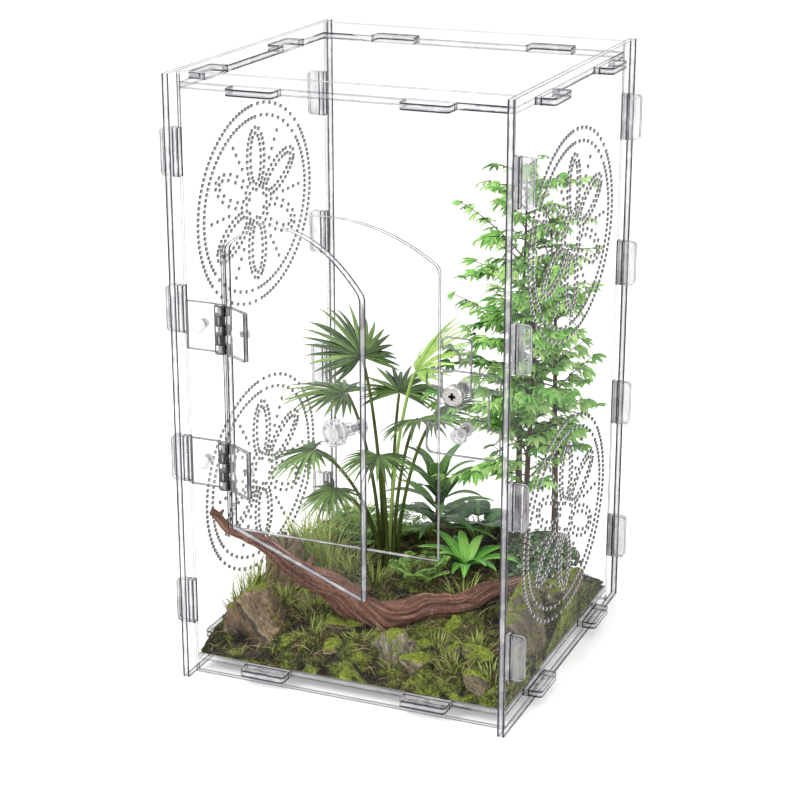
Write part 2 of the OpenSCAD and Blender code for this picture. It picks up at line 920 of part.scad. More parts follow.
// A stump that flares at its foot
stump_foot = 1.25 * fit * [stump_d, stump_d];
module stump() {
  foot = lobed(stump_foot, 310);
  color("peru")
    translate(concat(stump_at, base_top))
      loft([
        for (t = [0, 0.15, 0.35, 0.6, 0.85, 1])
          let (s = 0.72 + 0.28 * pow(1 - t, 2.5))
            [for (p = foot) [p[0] * s, p[1] * s, stump_h * t - 2 * t * p[0] / stump_d * s]]
      ]);
}

module driftwood() {
  color("sienna") drift_tube(0);
}

// Palm leaves: direction, reach, height of the hub over the bed, fan radius, fan tilt
palm_leaves = [for (q = [
  [184, 22, 108, 43, 8],
  [150, 22, 126, 44, 46],
  [214, 40, 78, 34, -14],
  [238, 34, 58, 28, -24],
  [322, 30, 104, 38, 14],
  [18, 24, 96, 34, 30],
  [100, 24, 100, 38, 20],
  [282, 26, 82, 32, -4]
]) [q[0], q[1] * fit, q[2] * tall, q[3] * fit, q[4]]];
palm_ring = 5;                               // radius of the ring that the stems stand on

function heading(deg) = [cos(deg), sin(deg)];
function palm_foot(k) = palm_at + palm_ring * heading(palm_leaves[k][0]);

// An arching stem from the bed to a hub
function arch_path(foot, deg, reach, height, steps = 8) = [
  for (i = [0 : steps])
    let (t = i / steps, h = reach * pow(t, 1.8), start = on_bed(foot) - [0, 0, hole_deep])
      start + [h * cos(deg), h * sin(deg), (height + hole_deep) * (1 - pow(1 - t, 1.25))]
];
function path_end(path) = path[len(path) - 1];

module arch_stem(path, deg, d) {
  tube(path, [for (p = path) d / 2], 6, [-sin(deg), cos(deg), 0]);
}

// A folded fan's outline: notched leaflets round a hub, the middle ones longest
function fan_outline(radius, spread = 210, base = 1.5) =
  let (step = spread / fan_leaflets)
  concat(
    [[-base, 0]],
    [for (i = [0 : fan_leaflets - 1])
      let (a = (i + 0.5 - fan_leaflets / 2) * step, r = radius * (0.72 + 0.28 * cos(a)))
        each [
          0.34 * r * [cos(a - step / 2), sin(a - step / 2)],
          0.66 * r * [cos(a - step * 0.34), sin(a - step * 0.34)],
          r * [cos(a), sin(a)],
          0.66 * r * [cos(a + step * 0.34), sin(a + step * 0.34)]
        ]],
    [0.3 * radius * [cos(spread / 2), sin(spread / 2)]]
  );

// A flat leaf held just off the end of its stem, pointing along deg and up by tilt
module held_leaf(at, deg, tilt) {
  translate(at)
    rotate([0, 0, deg])
      rotate([0, -tilt, 0])
        translate([palm_stem_d / 2 * cos(tilt) + plant_gap + 1.5, 0, -leaf_th / 2])
          linear_extrude(leaf_th) children();
}

module palm_stems() {
  color("olivedrab")
    for (k = [0 : len(palm_leaves) - 1]) {
      q = palm_leaves[k];
      arch_stem(arch_path(palm_foot(k), q[0], q[1], q[2]), q[0], palm_stem_d);
    }
}

module palm_fans() {
  color("darkgreen")
    for (k = [0 : len(palm_leaves) - 1]) {
      q = palm_leaves[k];
      held_leaf(path_end(arch_path(palm_foot(k), q[0], q[1], q[2])), q[0], q[4])
        polygon(fan_outline(q[3]));
    }
}

// The young light green fan with its own stem, upright behind the others
module young_fan() {
  deg = 30;
  path = arch_path(palm_at, deg, 16 * fit, 122 * tall);
  color("yellowgreen") {
    arch_stem(path, deg, palm_stem_d);
    held_leaf(path_end(path), deg, 56)
      polygon(fan_outline(46 * fit, 130));
  }
}

// A lance-shaped blade along +X
function blade_outline(length, width, steps = 6) = concat(
  [for (i = [0 : steps])
    let (t = i / steps)
      [length * t, width / 2 * sin(180 * pow(t, 0.75)) + 0.01 * (1 - t)]],
  [for (i = [steps - 1 : -1 : 1])
    let (t = i / steps)
      [length * t, -width / 2 * sin(180 * pow(t, 0.75))]]
);

broadleaf_h = 52 * tall;                            // height of the broad-leaf plant's stem
broadleaf_d = 3.4;                           // diameter of that stem

module broadleaf_stem() {
  color("brown")
    translate(on_bed(broadleaf_at) - [0, 0, hole_deep])
      cylinder(h = broadleaf_h + hole_deep, d1 = broadleaf_d, d2 = broadleaf_d * 0.75);
}

module broadleaf_leaves() {
  count = 11;
  color("green")
    for (k = [0 : count - 1]) {
      deg = 137.5 * k;
      up = broadleaf_h * (0.45 + 0.55 * k / count);
      translate(on_bed(broadleaf_at) + [0, 0, up])
        rotate([0, 0, deg])
          translate([broadleaf_d / 2 + plant_gap, 0, 0])
            rotate([0, -20 - 5 * k, 0])
              translate([0, 0, -leaf_th / 2])
                linear_extrude(leaf_th)
                  polygon(blade_outline((40 - k) * fit, 11 * fit));
    }
}

// ---------------------------------------------------------------- shrubs and ferns

spray_roll = 35;                             // turn of a spray about its own twig
spray_margin = 14;                           // room kept between a twig's end and a wall
spray_least = 16;                            // shortest spray
spray_aside = 0.38;                          // half breadth of a spray over its length

function shrub_lean(k, t) = 7 * t * t * heading(100 + 115 * k);
function shrub_height(k) = shrub_h * tall * (1 - 0.12 * k);
function shrub_point(k, t) =
  let (p = shrub_at[k], q = p + shrub_lean(k, t))
    [q[0], q[1], ground(p[0], p[1]) - hole_deep + (shrub_height(k) + hole_deep) * t];

module shrub_trunks() {
  steps = 9;
  color("saddlebrown")
    for (k = [0 : len(shrub_at) - 1])
      tube([for (i = [0 : steps]) shrub_point(k, i / steps)],
           [for (i = [0 : steps]) shrub_d / 2 * (1 - 0.8 * i / steps)],
           7, [0, 1, 0]);
}

// A spray: a thin twig with pairs of leaflets and one at its end. Each side of a leaflet is
// pointed; a leaflet is wide half-widths broad at its foot and leans towards the twig's tip.
function leaflet(x, side, size, wide, twig) = [
  [x - wide, side * twig],
  [x + 0.35 * size - wide, side * (twig + 0.55 * size)],
  [x + 0.75 * size, side * (twig + 0.95 * size)],
  [x + wide, side * twig]
];
function reversed(list) = [for (i = [len(list) - 1 : -1 : 0]) list[i]];
function spray_outline(length, size, wide, pairs, twig = 0.5) =
  let (step = length / (pairs + 1))
  concat(
    [[0, -twig]],
    [for (i = [1 : pairs]) each leaflet(step * i, -1, size * (1 - 0.35 * i / pairs), wide, twig)],
    [[length + 0.6 * size, 0]],
    [for (i = [pairs : -1 : 1])
      each reversed(leaflet(step * i, 1, size * (1 - 0.35 * i / pairs), wide, twig))],
    [[0, twig]]
  );

// Room from a point along a heading before another trunk comes within aside of the line
function trunk_room(k, t, at, deg, aside) = min([
  for (j = [0 : len(shrub_at) - 1])
    let (
      to = j == k ? [0, 0, 0] : shrub_point(j, t) - at,
      along = to[0] * cos(deg) + to[1] * sin(deg),
      off = abs(to[1] * cos(deg) - to[0] * sin(deg))
    )
      along > 0 && off < aside ? along : box_w
]);

// Sprays stand round each trunk in a steady turn, shorter towards the top and short of the
// walls and the other trunks. A heading with no room for a spray gets none.
module shrub_leaves() {
  color("limegreen")
    for (k = [0 : len(shrub_at) - 1])
      for (i = [0 : shrub_sprays - 1]) {
        t = 0.42 + 0.56 * i / (shrub_sprays - 1);
        deg = 137.5 * i + 80 * k;
        at = shrub_point(k, t);
        r = shrub_d / 2 * (1 - 0.8 * t) + 2 * plant_gap;
        full = min(spray_len * fit * (1.15 - 0.5 * t), wall_room(at, deg) - spray_margin);
        reach = min(full, trunk_room(k, t, at, deg, spray_aside * full) - spray_margin);
        if (reach > spray_least)
          translate(at)
            rotate([0, 0, deg])
              rotate([spray_roll * (i % 2 == 0 ? 1 : -1), -18, 0])
                translate([r, 0, -leaf_th / 2])
                  linear_extrude(leaf_th)
                    polygon(spray_outline(reach, 0.3 * reach, 0.055 * reach, 3));
      }
}

// Distance from a point to the nearest wall along a heading
function wall_room(p, deg) =
  let (
    c = cos(deg),
    s = sin(deg),
    rx = abs(c) < 0.01 ? box_w : ((c > 0 ? in_x : -in_x) - p[0]) / c,
    ry = abs(s) < 0.01 ? box_d : ((s > 0 ? in_y : -in_y) - p[1]) / s
  )
  min(rx, ry);

module ferns() {
  count = 6;
  color("forestgreen")
    for (p = fern_at)
      translate(on_bed(p) + [0, 0, plant_gap + 1])
        for (k = [0 : count - 1])
          rotate([0, 0, 360 * k / count + p[0]])
            translate([3, 0, 0])
              rotate([0, -38 - 9 * (k % 2), 0])
                translate([0, 0, -leaf_th / 2])
                  linear_extrude(leaf_th)
                    polygon(spray_outline(fern_len * fit, 6.5 * fit, 1.1 * fit, 6));
}

module strap_leaves() {
  count = 6;
  color("limegreen")
    for (k = [0 : count - 1])
      translate(on_bed(strap_at) + [0, 0, plant_gap + 1])
        rotate([0, 0, 360 * k / count + 20])
          translate([3, 0, 0])
            rotate([0, -22 - 14 * (k % 3), 0])
              translate([0, 0, -leaf_th / 2])
                linear_extrude(leaf_th)
                  polygon(blade_outline(31 * fit, 7 * fit));
}

module round_leaves() {
  count = 4;
  color("seagreen")
    for (k = [0 : count - 1])
      translate(on_bed(round_leaf_at) + [0, 0, plant_gap + 1])
        rotate([0, 0, 90 * k + 42])
          translate([3, 0, 0])
            rotate([0, -50, 0])
              translate([0, 0, -leaf_th / 2])
                linear_extrude(leaf_th)
                  scale(fit) {
                    translate([0, -0.8]) square([16, 1.6]);
                    translate([24, 0]) circle(10);
                  }
}

// A low mound of small leaves
module ground_cover() {
  color("darkolivegreen")
    translate([cover_at[0], cover_at[1], 0])
      one_mesh()
      difference() {
        translate([0, 0, ground(cover_at[0], cover_at[1])])
          rock(cover_size, 200);
        translate([-cover_at[0], -cover_at[1], plant_gap]) bed_block();
        for (p = shrub_at)
          translate([p[0] - cover_at[0], p[1] - cover_at[1], 0])
            cylinder(h = box_h, r = shrub_d / 2 + 3 * plant_gap, $fn = 12);
      }
}

module grass() {
  count = 7;
  color("yellowgreen")
    for (p = grass_at)
      for (k = [0 : count - 1])
        translate(on_bed(p) + [0, 0, plant_gap + 1])
          rotate([0, 0, 360 * k / count])
            translate([2, 0, 0])
              rotate([0, -58 - 8 * (k % 3), 0])
                translate([0, 0, -leaf_th / 2])
                  linear_extrude(leaf_th)
                    polygon(fit * [[0, -0.8], [22 + 5 * (k % 3), 0], [0, 0.8]]);
}

// ---------------------------------------------------------------- output

left_panel();
right_panel();
front_panel();
back_panel();
top_panel();
base_panel();
upper_hinge_frame_leaf();
lower_hinge_frame_leaf();
hinge_pins();
frame_leaf_rivets();
latch_plate();
latch_screw();
latch_nut();
plate_screw();
plate_nut();
door_panel();
upper_hinge_door_leaf();
lower_hinge_door_leaf();
door_leaf_rivets();
door_knob();
knob_nut();
latch_hook();
moss_bed();
large_rock();
small_mossy_rock();
centre_rock();
right_rock();
stump();
driftwood();
palm_stems();
palm_fans();
young_fan();
broadleaf_stem();
broadleaf_leaves();
shrub_trunks();
shrub_leaves();
ferns();
strap_leaves();
round_leaves();
ground_cover();
grass();
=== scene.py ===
import math

import bpy
import numpy as np
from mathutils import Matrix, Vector


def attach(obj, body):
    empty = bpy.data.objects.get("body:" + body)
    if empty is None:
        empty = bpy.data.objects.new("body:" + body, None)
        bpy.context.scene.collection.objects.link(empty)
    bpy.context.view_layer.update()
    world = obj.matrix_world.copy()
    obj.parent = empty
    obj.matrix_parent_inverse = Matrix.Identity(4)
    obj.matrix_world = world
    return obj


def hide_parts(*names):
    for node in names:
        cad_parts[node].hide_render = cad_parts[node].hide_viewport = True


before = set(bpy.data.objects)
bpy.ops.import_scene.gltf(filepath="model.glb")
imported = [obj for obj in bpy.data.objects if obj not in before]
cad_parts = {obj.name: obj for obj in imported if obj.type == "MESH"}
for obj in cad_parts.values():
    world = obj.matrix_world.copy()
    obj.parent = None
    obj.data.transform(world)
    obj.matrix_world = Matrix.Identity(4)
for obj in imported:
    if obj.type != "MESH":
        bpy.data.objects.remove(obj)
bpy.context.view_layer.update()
MM = 0.001
TAU = 2 * np.pi
UP = np.array([0.0, 0.0, 1.0])


# ---------- numbers shared with the solids, in mm

IN_X, IN_Y = 96.0, 93.0    # inner half sizes of the box
ROOF, BED_BASE = 345.0, 10.0    # top panel's underside, base panel's upper side
SHEET, FITTING = 4.0, 3.0    # thickness of the panels and of the flat fittings
FRONT_Y = -97.0
HINGE = (-71.5, -100.8)
DOOR_REST = 31.0    # degrees that the door stands open
HOOK_GAP = 0.15    # between the front panel and the hook
SCREW_RECESS = (67.3, -105.0, 194.4)
RECESS_R = 3.4
HOLE_DEEP = 8.0    # how deep the plants stand in the bed
BIG_ROCK = ((-70, -67), (48, 40, 38), 20)     # middle, size and seed
SMALL_ROCK = ((-54, -35), (26, 24, 25), 75)
MID_ROCK = ((19, -71), (40, 30, 27), 140)
RIGHT_ROCK = ((82, -24), (24, 66, 52), 250)
STUMP_AT, STUMP_D, STUMP_H, STUMP_SEED = (-77, -14), 28.0, 44.0, 310
PALM_AT, PALM_RING, PALM_STEM_D = (-22, 20), 5.0, 2.2
PALM_LEAVES = [    # direction, reach, height, fan radius, tilt
    (184, 22, 108, 43, 8), (150, 22, 126, 44, 46), (214, 40, 78, 34, -14), (238, 34, 58, 28, -24),
    (322, 30, 104, 38, 14), (18, 24, 96, 34, 30), (100, 24, 100, 38, 20), (282, 26, 82, 32, -4),
]
YOUNG_FAN = (30, 16, 122, 46, 56)
BROADLEAF_AT, BROADLEAF_H, BROADLEAF_D = (0, 46), 52.0, 3.4
SHRUB_AT, SHRUB_H, SHRUB_D, SPRAY_LEN = [(48, 60), (73, 58), (62, 34)], 245.0, 5.0, 52.0
FERN_AT = [(-52, 44), (10, -8), (-34, 58)]
STRAP_AT, ROUND_AT = (28, 24), (18, 70)
COVER_AT, COVER_SIZE = (67, 50), (50, 60, 16)
GRASS_AT = [(-79, 22), (-60, 12), (-80, 48), (-70, 74)]
DRIFT = [(-90, -84, 97), (-79, -77, 85), (-54, -68, 69), (-29, -58, 50), (-4, -47, 33),
         (22, -33, 33.5), (43, -23, 38), (56, -6, 39.5), (64, 10, 38.5), (76, 22, 37)]
DRIFT_THICK = [0.26, 0.45, 0.75, 1, 1, 0.85, 0.75, 0.6, 0.45, 0.25]
DRIFT_D = 18.5
VENT_A, VENT_B, VENT_ZS = 74.0, 59.0, (92, 261)
VENT_RING_GAP, VENT_PETALS, VENT_PITCH = 7.3, 6, 7.2


# ---------- colours and shader nodes

class Value:
    """An output of a shader node. Arithmetic on it adds Math nodes."""

    def __init__(self, tree, socket):
        self.tree, self.socket = tree, socket

    def math(self, operation, *others, **settings):
        return add(self.tree, "Math", dict(enumerate((self, *others))), operation=operation, **settings)

    def __rsub__(self, other):
        return add(self.tree, "Math", {0: other, 1: self}, operation="SUBTRACT")


for sign, step in (("add", "ADD"), ("sub", "SUBTRACT"), ("mul", "MULTIPLY"), ("truediv", "DIVIDE"),
                   ("pow", "POWER"), ("abs", "ABSOLUTE"), ("gt", "GREATER_THAN"), ("lt", "LESS_THAN")):
    setattr(Value, f"__{sign}__", lambda self, *others, step=step: self.math(step, *others))


def colour(hex_code):
    """An sRGB hex value as linear red, green, blue and 1."""
    parts = [int(hex_code[i:i + 2], 16) / 255 for i in (1, 3, 5)]
    return tuple(c / 12.92 if c <= 0.04045 else ((c + 0.055) / 1.055) ** 2.4 for c in parts) + (1.0,)


def add(tree, kind, values=None, out=0, **settings):
    """Adds a shader node and gives one of its outputs. Its values go to sockets by name or number:
    a Value is linked, anything else is set, and a hex value becomes its colour first."""
    made = tree.nodes.new("ShaderNode" + kind)
    for key, value in settings.items():
        setattr(made, key, value)
    for key, value in (values or {}).items():
        if isinstance(value, Value):
            tree.links.new(value.socket, made.inputs[key])
        else:
            made.inputs[key].default_value = colour(value) if isinstance(value, str) else value
    return Value(tree, made.outputs[out]) if made.outputs else None


def start(name):
    """A new material, its empty node tree, and the place of a point in its object."""
    mat = bpy.data.materials.new(name)
    mat.use_nodes = True
    mat.node_tree.nodes.clear()
    return mat, mat.node_tree, add(mat.node_tree, "TexCoord", out="Object")


def surface(mat, tone, rough, normal=None, **more):
    """Ends a material in one Principled surface. The names in more have _ in place of a space."""
    values = {"Base Color": tone, "Roughness": rough, **{key.replace("_", " "): v for key, v in more.items()}}
    if normal:
        values["Normal"] = normal
    add(mat.node_tree, "OutputMaterial", {0: add(mat.node_tree, "BsdfPrincipled", values)})
    return mat


def ramp(factor, stops):
    """Colours or numbers along a factor. stops has a hex value or a number for each place."""
    made = add(factor.tree, "ValToRGB", {0: factor})
    band = made.socket.node.color_ramp.elements
    while len(band) < len(stops):
        band.new(0.5)
    for element, (place, value) in zip(band, stops.items()):
        element.position = place
        element.color = colour(value) if isinstance(value, str) else (value, value, value, 1.0)
    return made


def noise(where, scale_mm, detail=4.0, rough=0.6, stretch=(1, 1, 1), warp=0.0):
    """Noise whose largest grain is scale_mm across, stretched along the axes."""
    spread = tuple(1 / (scale_mm * MM * s) for s in stretch)
    place = add(where.tree, "Mapping", {0: where, 3: spread})
    return add(where.tree, "TexNoise", {"Vector": place, "Scale": 1.0, "Detail": detail, "Roughness": rough,
                                        "Distortion": warp})


def bump(height, depth_mm, strength=1.0):
    """A bump normal from a height between 0 and 1 that stands for depth_mm."""
    return add(height.tree, "Bump", {"Height": height, "Distance": depth_mm * MM, "Strength": strength})


def mix(factor, first, second):
    """Blends two colours, each a Value or a hex value."""
    tree = next(v.tree for v in (factor, first, second) if isinstance(v, Value))
    return add(tree, "Mix", {0: factor, 6: first, 7: second}, 2, data_type="RGBA")


def dot(vector, way):
    """How far a vector reaches along a direction."""
    return add(vector.tree, "VectorMath", {0: vector, 1: tuple(way)}, "Value", operation="DOT_PRODUCT")


def part(vector, axis):
    """One component of a vector."""
    return add(vector.tree, "SeparateXYZ", {0: vector}, axis)


def own_tone(tree):
    """The tone attribute, a number for each point of a mesh."""
    return add(tree, "Attribute", None, "Fac", attribute_name="tone")


# ---------- finishes

PAINTED_CORNER_SHADE = {0.6: "#2B2930", 1.0: "#1A181D"}     # painted shade: the dark line along a cut edge's corners
PANEL_EDGE = {0.0: "#E6E4EA", 0.25: "#B7B4BD", 0.4: "#8B8892", 0.5: "#A8A5AE", **PAINTED_CORNER_SHADE}
FITTING_EDGE = {0.0: "#85828B", 0.25: "#5C5962", 0.4: "#45424A", 0.5: "#3A3840", **PAINTED_CORNER_SHADE}
VENT_FIELD = (80, 177, 155)    # half depth, middle height and half height of the drilled part


def acrylic(name, normal, centre_mm, haze=0.004, thick=SHEET, holes=False, tabs=()):
    """Clear cast acrylic sheet, laser cut. Its faces are nearly invisible, a little whiter towards
    grazing as a painted reflection, and its cut edges are glassy lavender grey, pale along their
    middle with painted white glints, and with a painted dark line of shade along each corner. A thin
    fitting's edges are darker. normal is the way the sheet faces, centre_mm the place of its middle
    along that way and haze its faces' opacity. The walls of small holes stay clear, as their frosted
    rims are pieces of their own. tabs are (axis, mm) pairs: past that distance the sheet is a tab,
    streaked with grey."""
    mat, tree, where = start(name)
    panel = thick == SHEET
    edge = abs(dot(add(tree, "TexCoord", out="Normal"), normal)) < 0.7
    share = abs(dot(where, normal) - centre_mm * MM) / (thick / 2 * MM)
    # painted highlights: white glints along the middle of a cut edge
    glint = ramp(noise(where, 14.0, detail=3.0), {0.47: 0.0, 0.62: 0.75 if panel else 0.2})
    glint = glint * ramp(share, {0.5: 1.0, 0.6: 0.05})
    rim = mix(glint, ramp(share, PANEL_EDGE if panel else FITTING_EDGE), "#FFFFFF")
    middle = 0.45 if panel else 0.85
    solid = ramp(share, {0.0: middle, 0.3: middle + 0.1, 0.6: 1.0})
    # painted reflection: the faces grow whiter as they turn towards grazing
    face = add(tree, "LayerWeight", {"Blend": 0.5}, "Facing") ** 3.0 * 0.06 + haze
    plain = "#F4F5F7"
    if tabs:
        streak = noise(where, 2.4, detail=2.0, stretch=(1.6, 1.6, 6.0))
        plain = ramp(streak, {0.4: "#8D8A93", 0.5: "#CFCCD4", 0.58: "#F2F1F5"})
    for axis, far in tabs:
        face = face.math("MAXIMUM", (abs(part(where, axis)) > far * MM) * 0.3)
    if holes:
        half_y, mid_z, half_z = VENT_FIELD
        field = (abs(part(where, 1)) < half_y * MM) * (abs(part(where, 2) - mid_z * MM) < half_z * MM)
        edge = edge * (1.0 - field)
    alpha = add(tree, "Mix", {0: edge, 2: face, 3: solid}, data_type="FLOAT")
    return surface(mat, mix(edge, plain, rim), 0.06, IOR=1.49, Alpha=alpha)


def turned_acrylic(name):
    """Turned clear acrylic with the light that it bends painted on: see-through where it faces the eye,
    painted shade in dark grey along its outline, and painted bands of light and shade between them
    where its round form bends the light."""
    mat, tree, where = start(name)
    rim = add(tree, "LayerWeight", {"Blend": 0.35}, "Facing")
    swirl = noise(where, 6.0, detail=3.0, warp=0.6)
    turn = rim.math("ADD", (swirl - 0.5) * 0.2, use_clamp=True)
    # painted light and shade, set by how squarely the surface faces the eye
    tone = ramp(turn, {0.0: "#FFFFFF", 0.18: "#6B6970", 0.3: "#F2F1F4", 0.48: "#8E8C94", 0.6: "#F7F6F8",
                       0.78: "#2F2D34", 1.0: "#55535B"})
    solid = ramp(turn, {0.0: 0.35, 0.2: 0.75, 0.3: 0.6, 0.5: 0.8, 0.62: 0.7, 1.0: 0.95})
    return surface(mat, tone, 0.08, bump(swirl, 0.15, 0.4), IOR=1.49, Alpha=solid)


def vent_rim(name):
    """The frosted wall that a laser leaves round a small hole in acrylic: grey and a little rough, with
    painted light and shade as the tone attribute says, pale as a painted highlight on one side and
    dark as a painted crescent of shade on the other."""
    mat, tree, where = start(name)
    # painted light and shade from the tone attribute: pale on the lit side, dark opposite
    lit = own_tone(tree) * 0.85 + noise(where, 1.2, detail=2.0) * 0.2
    tone = ramp(lit, {0.25: "#F1F0EF", 0.45: "#C2BFBD", 0.65: "#8B8784", 0.9: "#4A4745"})
    return surface(mat, tone, 0.35, IOR=1.49)


def white_rivet(name):
    """Moulded translucent white nylon: soft, milky, with a dull skin."""
    mat, _, where = start(name)
    cloud = noise(where, 3.0)
    return surface(mat, ramp(cloud, {0.3: "#E3E3E2", 0.7: "#FAFAF8"}), 0.38, bump(cloud, 0.05, 0.3), IOR=1.53,
                   Subsurface_Weight=0.15, Subsurface_Scale=0.001)


def plated_steel(name, recess=None):
    """Nickel-plated steel, cold headed and tumbled: warm grey metal with fine random scratches. In a
    recess, given by its middle, the metal is dark, as little light gets in."""
    mat, tree, where = start(name)
    scratch = noise(where, 2.5, detail=6.0, stretch=(1, 1, 0.15))
    tone = ramp(scratch, {0.3: "#A29F9C", 0.75: "#DAD7D3"})
    if recess:
        middle = tuple(c * MM for c in recess)
        aside = add(tree, "VectorMath", {0: where, 1: middle}, operation="SUBTRACT")
        flat = add(tree, "VectorMath", {0: aside, 1: (1.0, 0.0, 1.0)}, operation="MULTIPLY")
        far = add(tree, "VectorMath", {0: flat}, "Value", operation="LENGTH")
        tone = mix((part(where, 1) > middle[1]) * (far < RECESS_R * MM), tone, "#1B1918")
    rough = ramp(scratch, {0.3: 0.22, 0.8: 0.42})
    return surface(mat, tone, rough, bump(scratch, 0.04, 0.4), Metallic=1.0)


def living_moss(name, shoots=False):
    """Cushion moss on soil: yellow green crowns, olive flanks, brown dead patches and black-brown soil
    in the hollows between cushions, whose darkness is partly the soil's own and partly painted shade,
    with a pile that scatters light like velvet. The tone attribute says how high on its cushion a
    point is, and on single shoots how light each is."""
    mat, tree, where = start(name)
    hill = own_tone(tree)
    patch = noise(where, 38.0, detail=3.0)
    clump = noise(where, 9.0, detail=5.0, rough=0.65)
    pile = noise(where, 1.5, detail=4.0, rough=0.75)
    dead = noise(where, 17.0, detail=4.0, warp=0.5)
    greens = ramp(patch, {0.36: "#2B3114", 0.45: "#525E24", 0.52: "#768434", 0.6: "#A0AC46", 0.7: "#5B652A"})
    flank = ramp(clump, {0.38: "#0F1008", 0.46: "#333C14", 0.54: "#6F7F28", 0.64: "#B6C450"})
    brown = ramp(pile, {0.35: "#1E160D", 0.55: "#56432B", 0.7: "#A08A5E"})
    moss = mix(ramp(dead, {0.5: 0.0, 0.58: 0.85}), mix(0.6, greens, flank), brown)
    moss = mix(ramp(pile, {0.36: 0.8, 0.5: 0.0}), moss, "#1B1F0B")
    moss = mix(ramp(pile, {0.54: 0.0, 0.72: 0.55}), moss, "#C8D26A")
    if shoots:
        tone = mix(ramp(hill, {0.3: 0.6, 0.75: 0.0}), moss, "#23270D")
    else:
        # partly painted shade: the soil in the hollows runs down to near black
        soil_and_shade = ramp(pile, {0.3: "#0D0A07", 0.55: "#2E2418", 0.75: "#5E4D38"})
        tone = mix(ramp(hill * 0.8 + clump * 0.75, {0.46: 0.0, 0.62: 1.0}), soil_and_shade, moss)
    return surface(mat, tone, 0.95, bump(clump + pile * 0.5, 3.0), Sheen_Weight=0.12, Sheen_Roughness=0.5,
                   Specular_IOR_Level=0.12)


def mossy_rock(name, tones, moss_share, bed_way=(0.5, 0.3, 0.8)):
    """Weathered limestone split along its beds: thin dark seams across bed_way, pale worn ridges,
    moss on what faces up, and painted shade, near black, inside its hollow. The tone attribute is 1
    in the hollow, where the shade is painted."""
    mat, tree, where = start(name)
    blotch = noise(where, 15.0, detail=5.0, rough=0.6, warp=0.4)
    grit = noise(where, 2.0, detail=6.0, rough=0.75)
    level = dot(where, unit(np.array(bed_way))) * (1 / (4.6 * MM)) + blotch * 2.6
    beds = add(tree, "TexNoise", {"W": level, "Scale": 1.0, "Detail": 4.0, "Roughness": 0.65},
               noise_dimensions="1D")
    stone = ramp(beds, dict(zip((0.36, 0.46, 0.56, 0.68), tones)))
    stone = mix(ramp(blotch, {0.4: 0.55, 0.55: 0.0}), stone, tones[0])
    stone = mix(0.3, stone, ramp(grit, {0.32: tones[0], 0.68: tones[3]}))
    cover = part(add(tree, "TexCoord", out="Normal"), 2) * 0.6 + blotch * 0.9
    moss = ramp(grit, {0.3: "#3E471A", 0.5: "#7F8E2E", 0.7: "#B2BF4C"})
    tone = mix(ramp(cover, {1.18 - moss_share: 0.0, 1.26 - moss_share: 1.0}), stone, moss)
    # painted shade: near black inside the cave, where the tone attribute is high
    tone = mix(ramp(own_tone(tree), {0.2: 0.0, 0.55: 0.93}), tone, "#0D0A08")
    return surface(mat, tone, 0.85, bump(beds + grit * 0.45, 3.2), Specular_IOR_Level=0.3)


def old_wood(name, tones, moss_share=0.0, fibre_mm=2.0):
    """Weathered wood: fibres along the piece's own length, read from its UV map, dark between
    them and worn pale along their backs, with patches of moss."""
    mat, tree, where = start(name)
    along = add(tree, "Mapping", {0: add(tree, "TexCoord", out="UV"), 3: (0.05, 1.0, 1.0)})
    fibre = add(tree, "TexNoise", {"Vector": along, "Scale": 1 / fibre_mm, "Detail": 6.0, "Roughness": 0.72,
                                   "Distortion": 0.7})
    patch = noise(where, 22.0, detail=4.0)
    grit = noise(where, 1.8, detail=5.0)
    tone = ramp(fibre, dict(zip((0.34, 0.46, 0.56, 0.68), tones)))
    tone = mix(ramp(patch, {0.35: 0.6, 0.5: 0.0, 0.7: 0.45}), tone, tones[1])
    tone = mix(0.2, tone, ramp(grit, {0.3: tones[0], 0.7: tones[3]}))
    if moss_share:
        tone = mix((patch > 1 - moss_share) * 0.7, tone, ramp(grit, {0.3: "#3E4719", 0.7: "#93A03F"}))
    return surface(mat, tone, 0.75, bump(fibre + grit * 0.3, 1.6), Specular_IOR_Level=0.3)


def leaf(name, shade, body, light, rough=0.42):
    """A leaf's waxy skin: a paler midrib along its own length, a shade of its own for each leaf,
    and fine veins. The tone attribute tells the leaves apart."""
    mat, tree, where = start(name)
    uv = add(tree, "TexCoord", out="UV")
    along = part(uv, 0)
    mottle = own_tone(tree) * 0.75 + noise(where, 3.5, detail=3.0) * 0.4
    tone = ramp(mottle, {0.2: shade, 0.5: body, 0.85: light})
    rib = ramp(abs(part(uv, 1) - 0.5), {0.0: 0.6, 0.05: 0.5, 0.1: 0.0, 0.42: 0.0, 0.5: 0.55})
    tone = mix(ramp(along, {0.0: 0.6, 0.25: 0.0}), mix(rib, tone, light), shade)
    tone = mix(ramp(along, {0.75: 0.0, 1.0: 0.45}), tone, light)
    vein = add(tree, "TexWave", {"Vector": uv, "Scale": 9.0, "Distortion": 0.6}, 1, bands_direction="X")
    return surface(mat, tone, rough, bump(vein, 0.15, 0.5), Specular_IOR_Level=0.4, Sheen_Weight=0.05)


def studio_floor(name):
    """A white lacquered table: it keeps the shadow, mirrors the box faintly, and is white to the eye."""
    mat, tree, _ = start(name)
    lit = add(tree, "BsdfPrincipled", {"Base Color": "#F6F6F6", "Roughness": 0.16, "IOR": 1.45})
    glow = add(tree, "Emission", {0: "#FFFFFF", 1: add(tree, "LightPath", out="Is Camera Ray") * 0.30})
    add(tree, "OutputMaterial", {0: add(tree, "AddShader", {0: lit, 1: glow})})
    return mat


# ---------- mesh tools

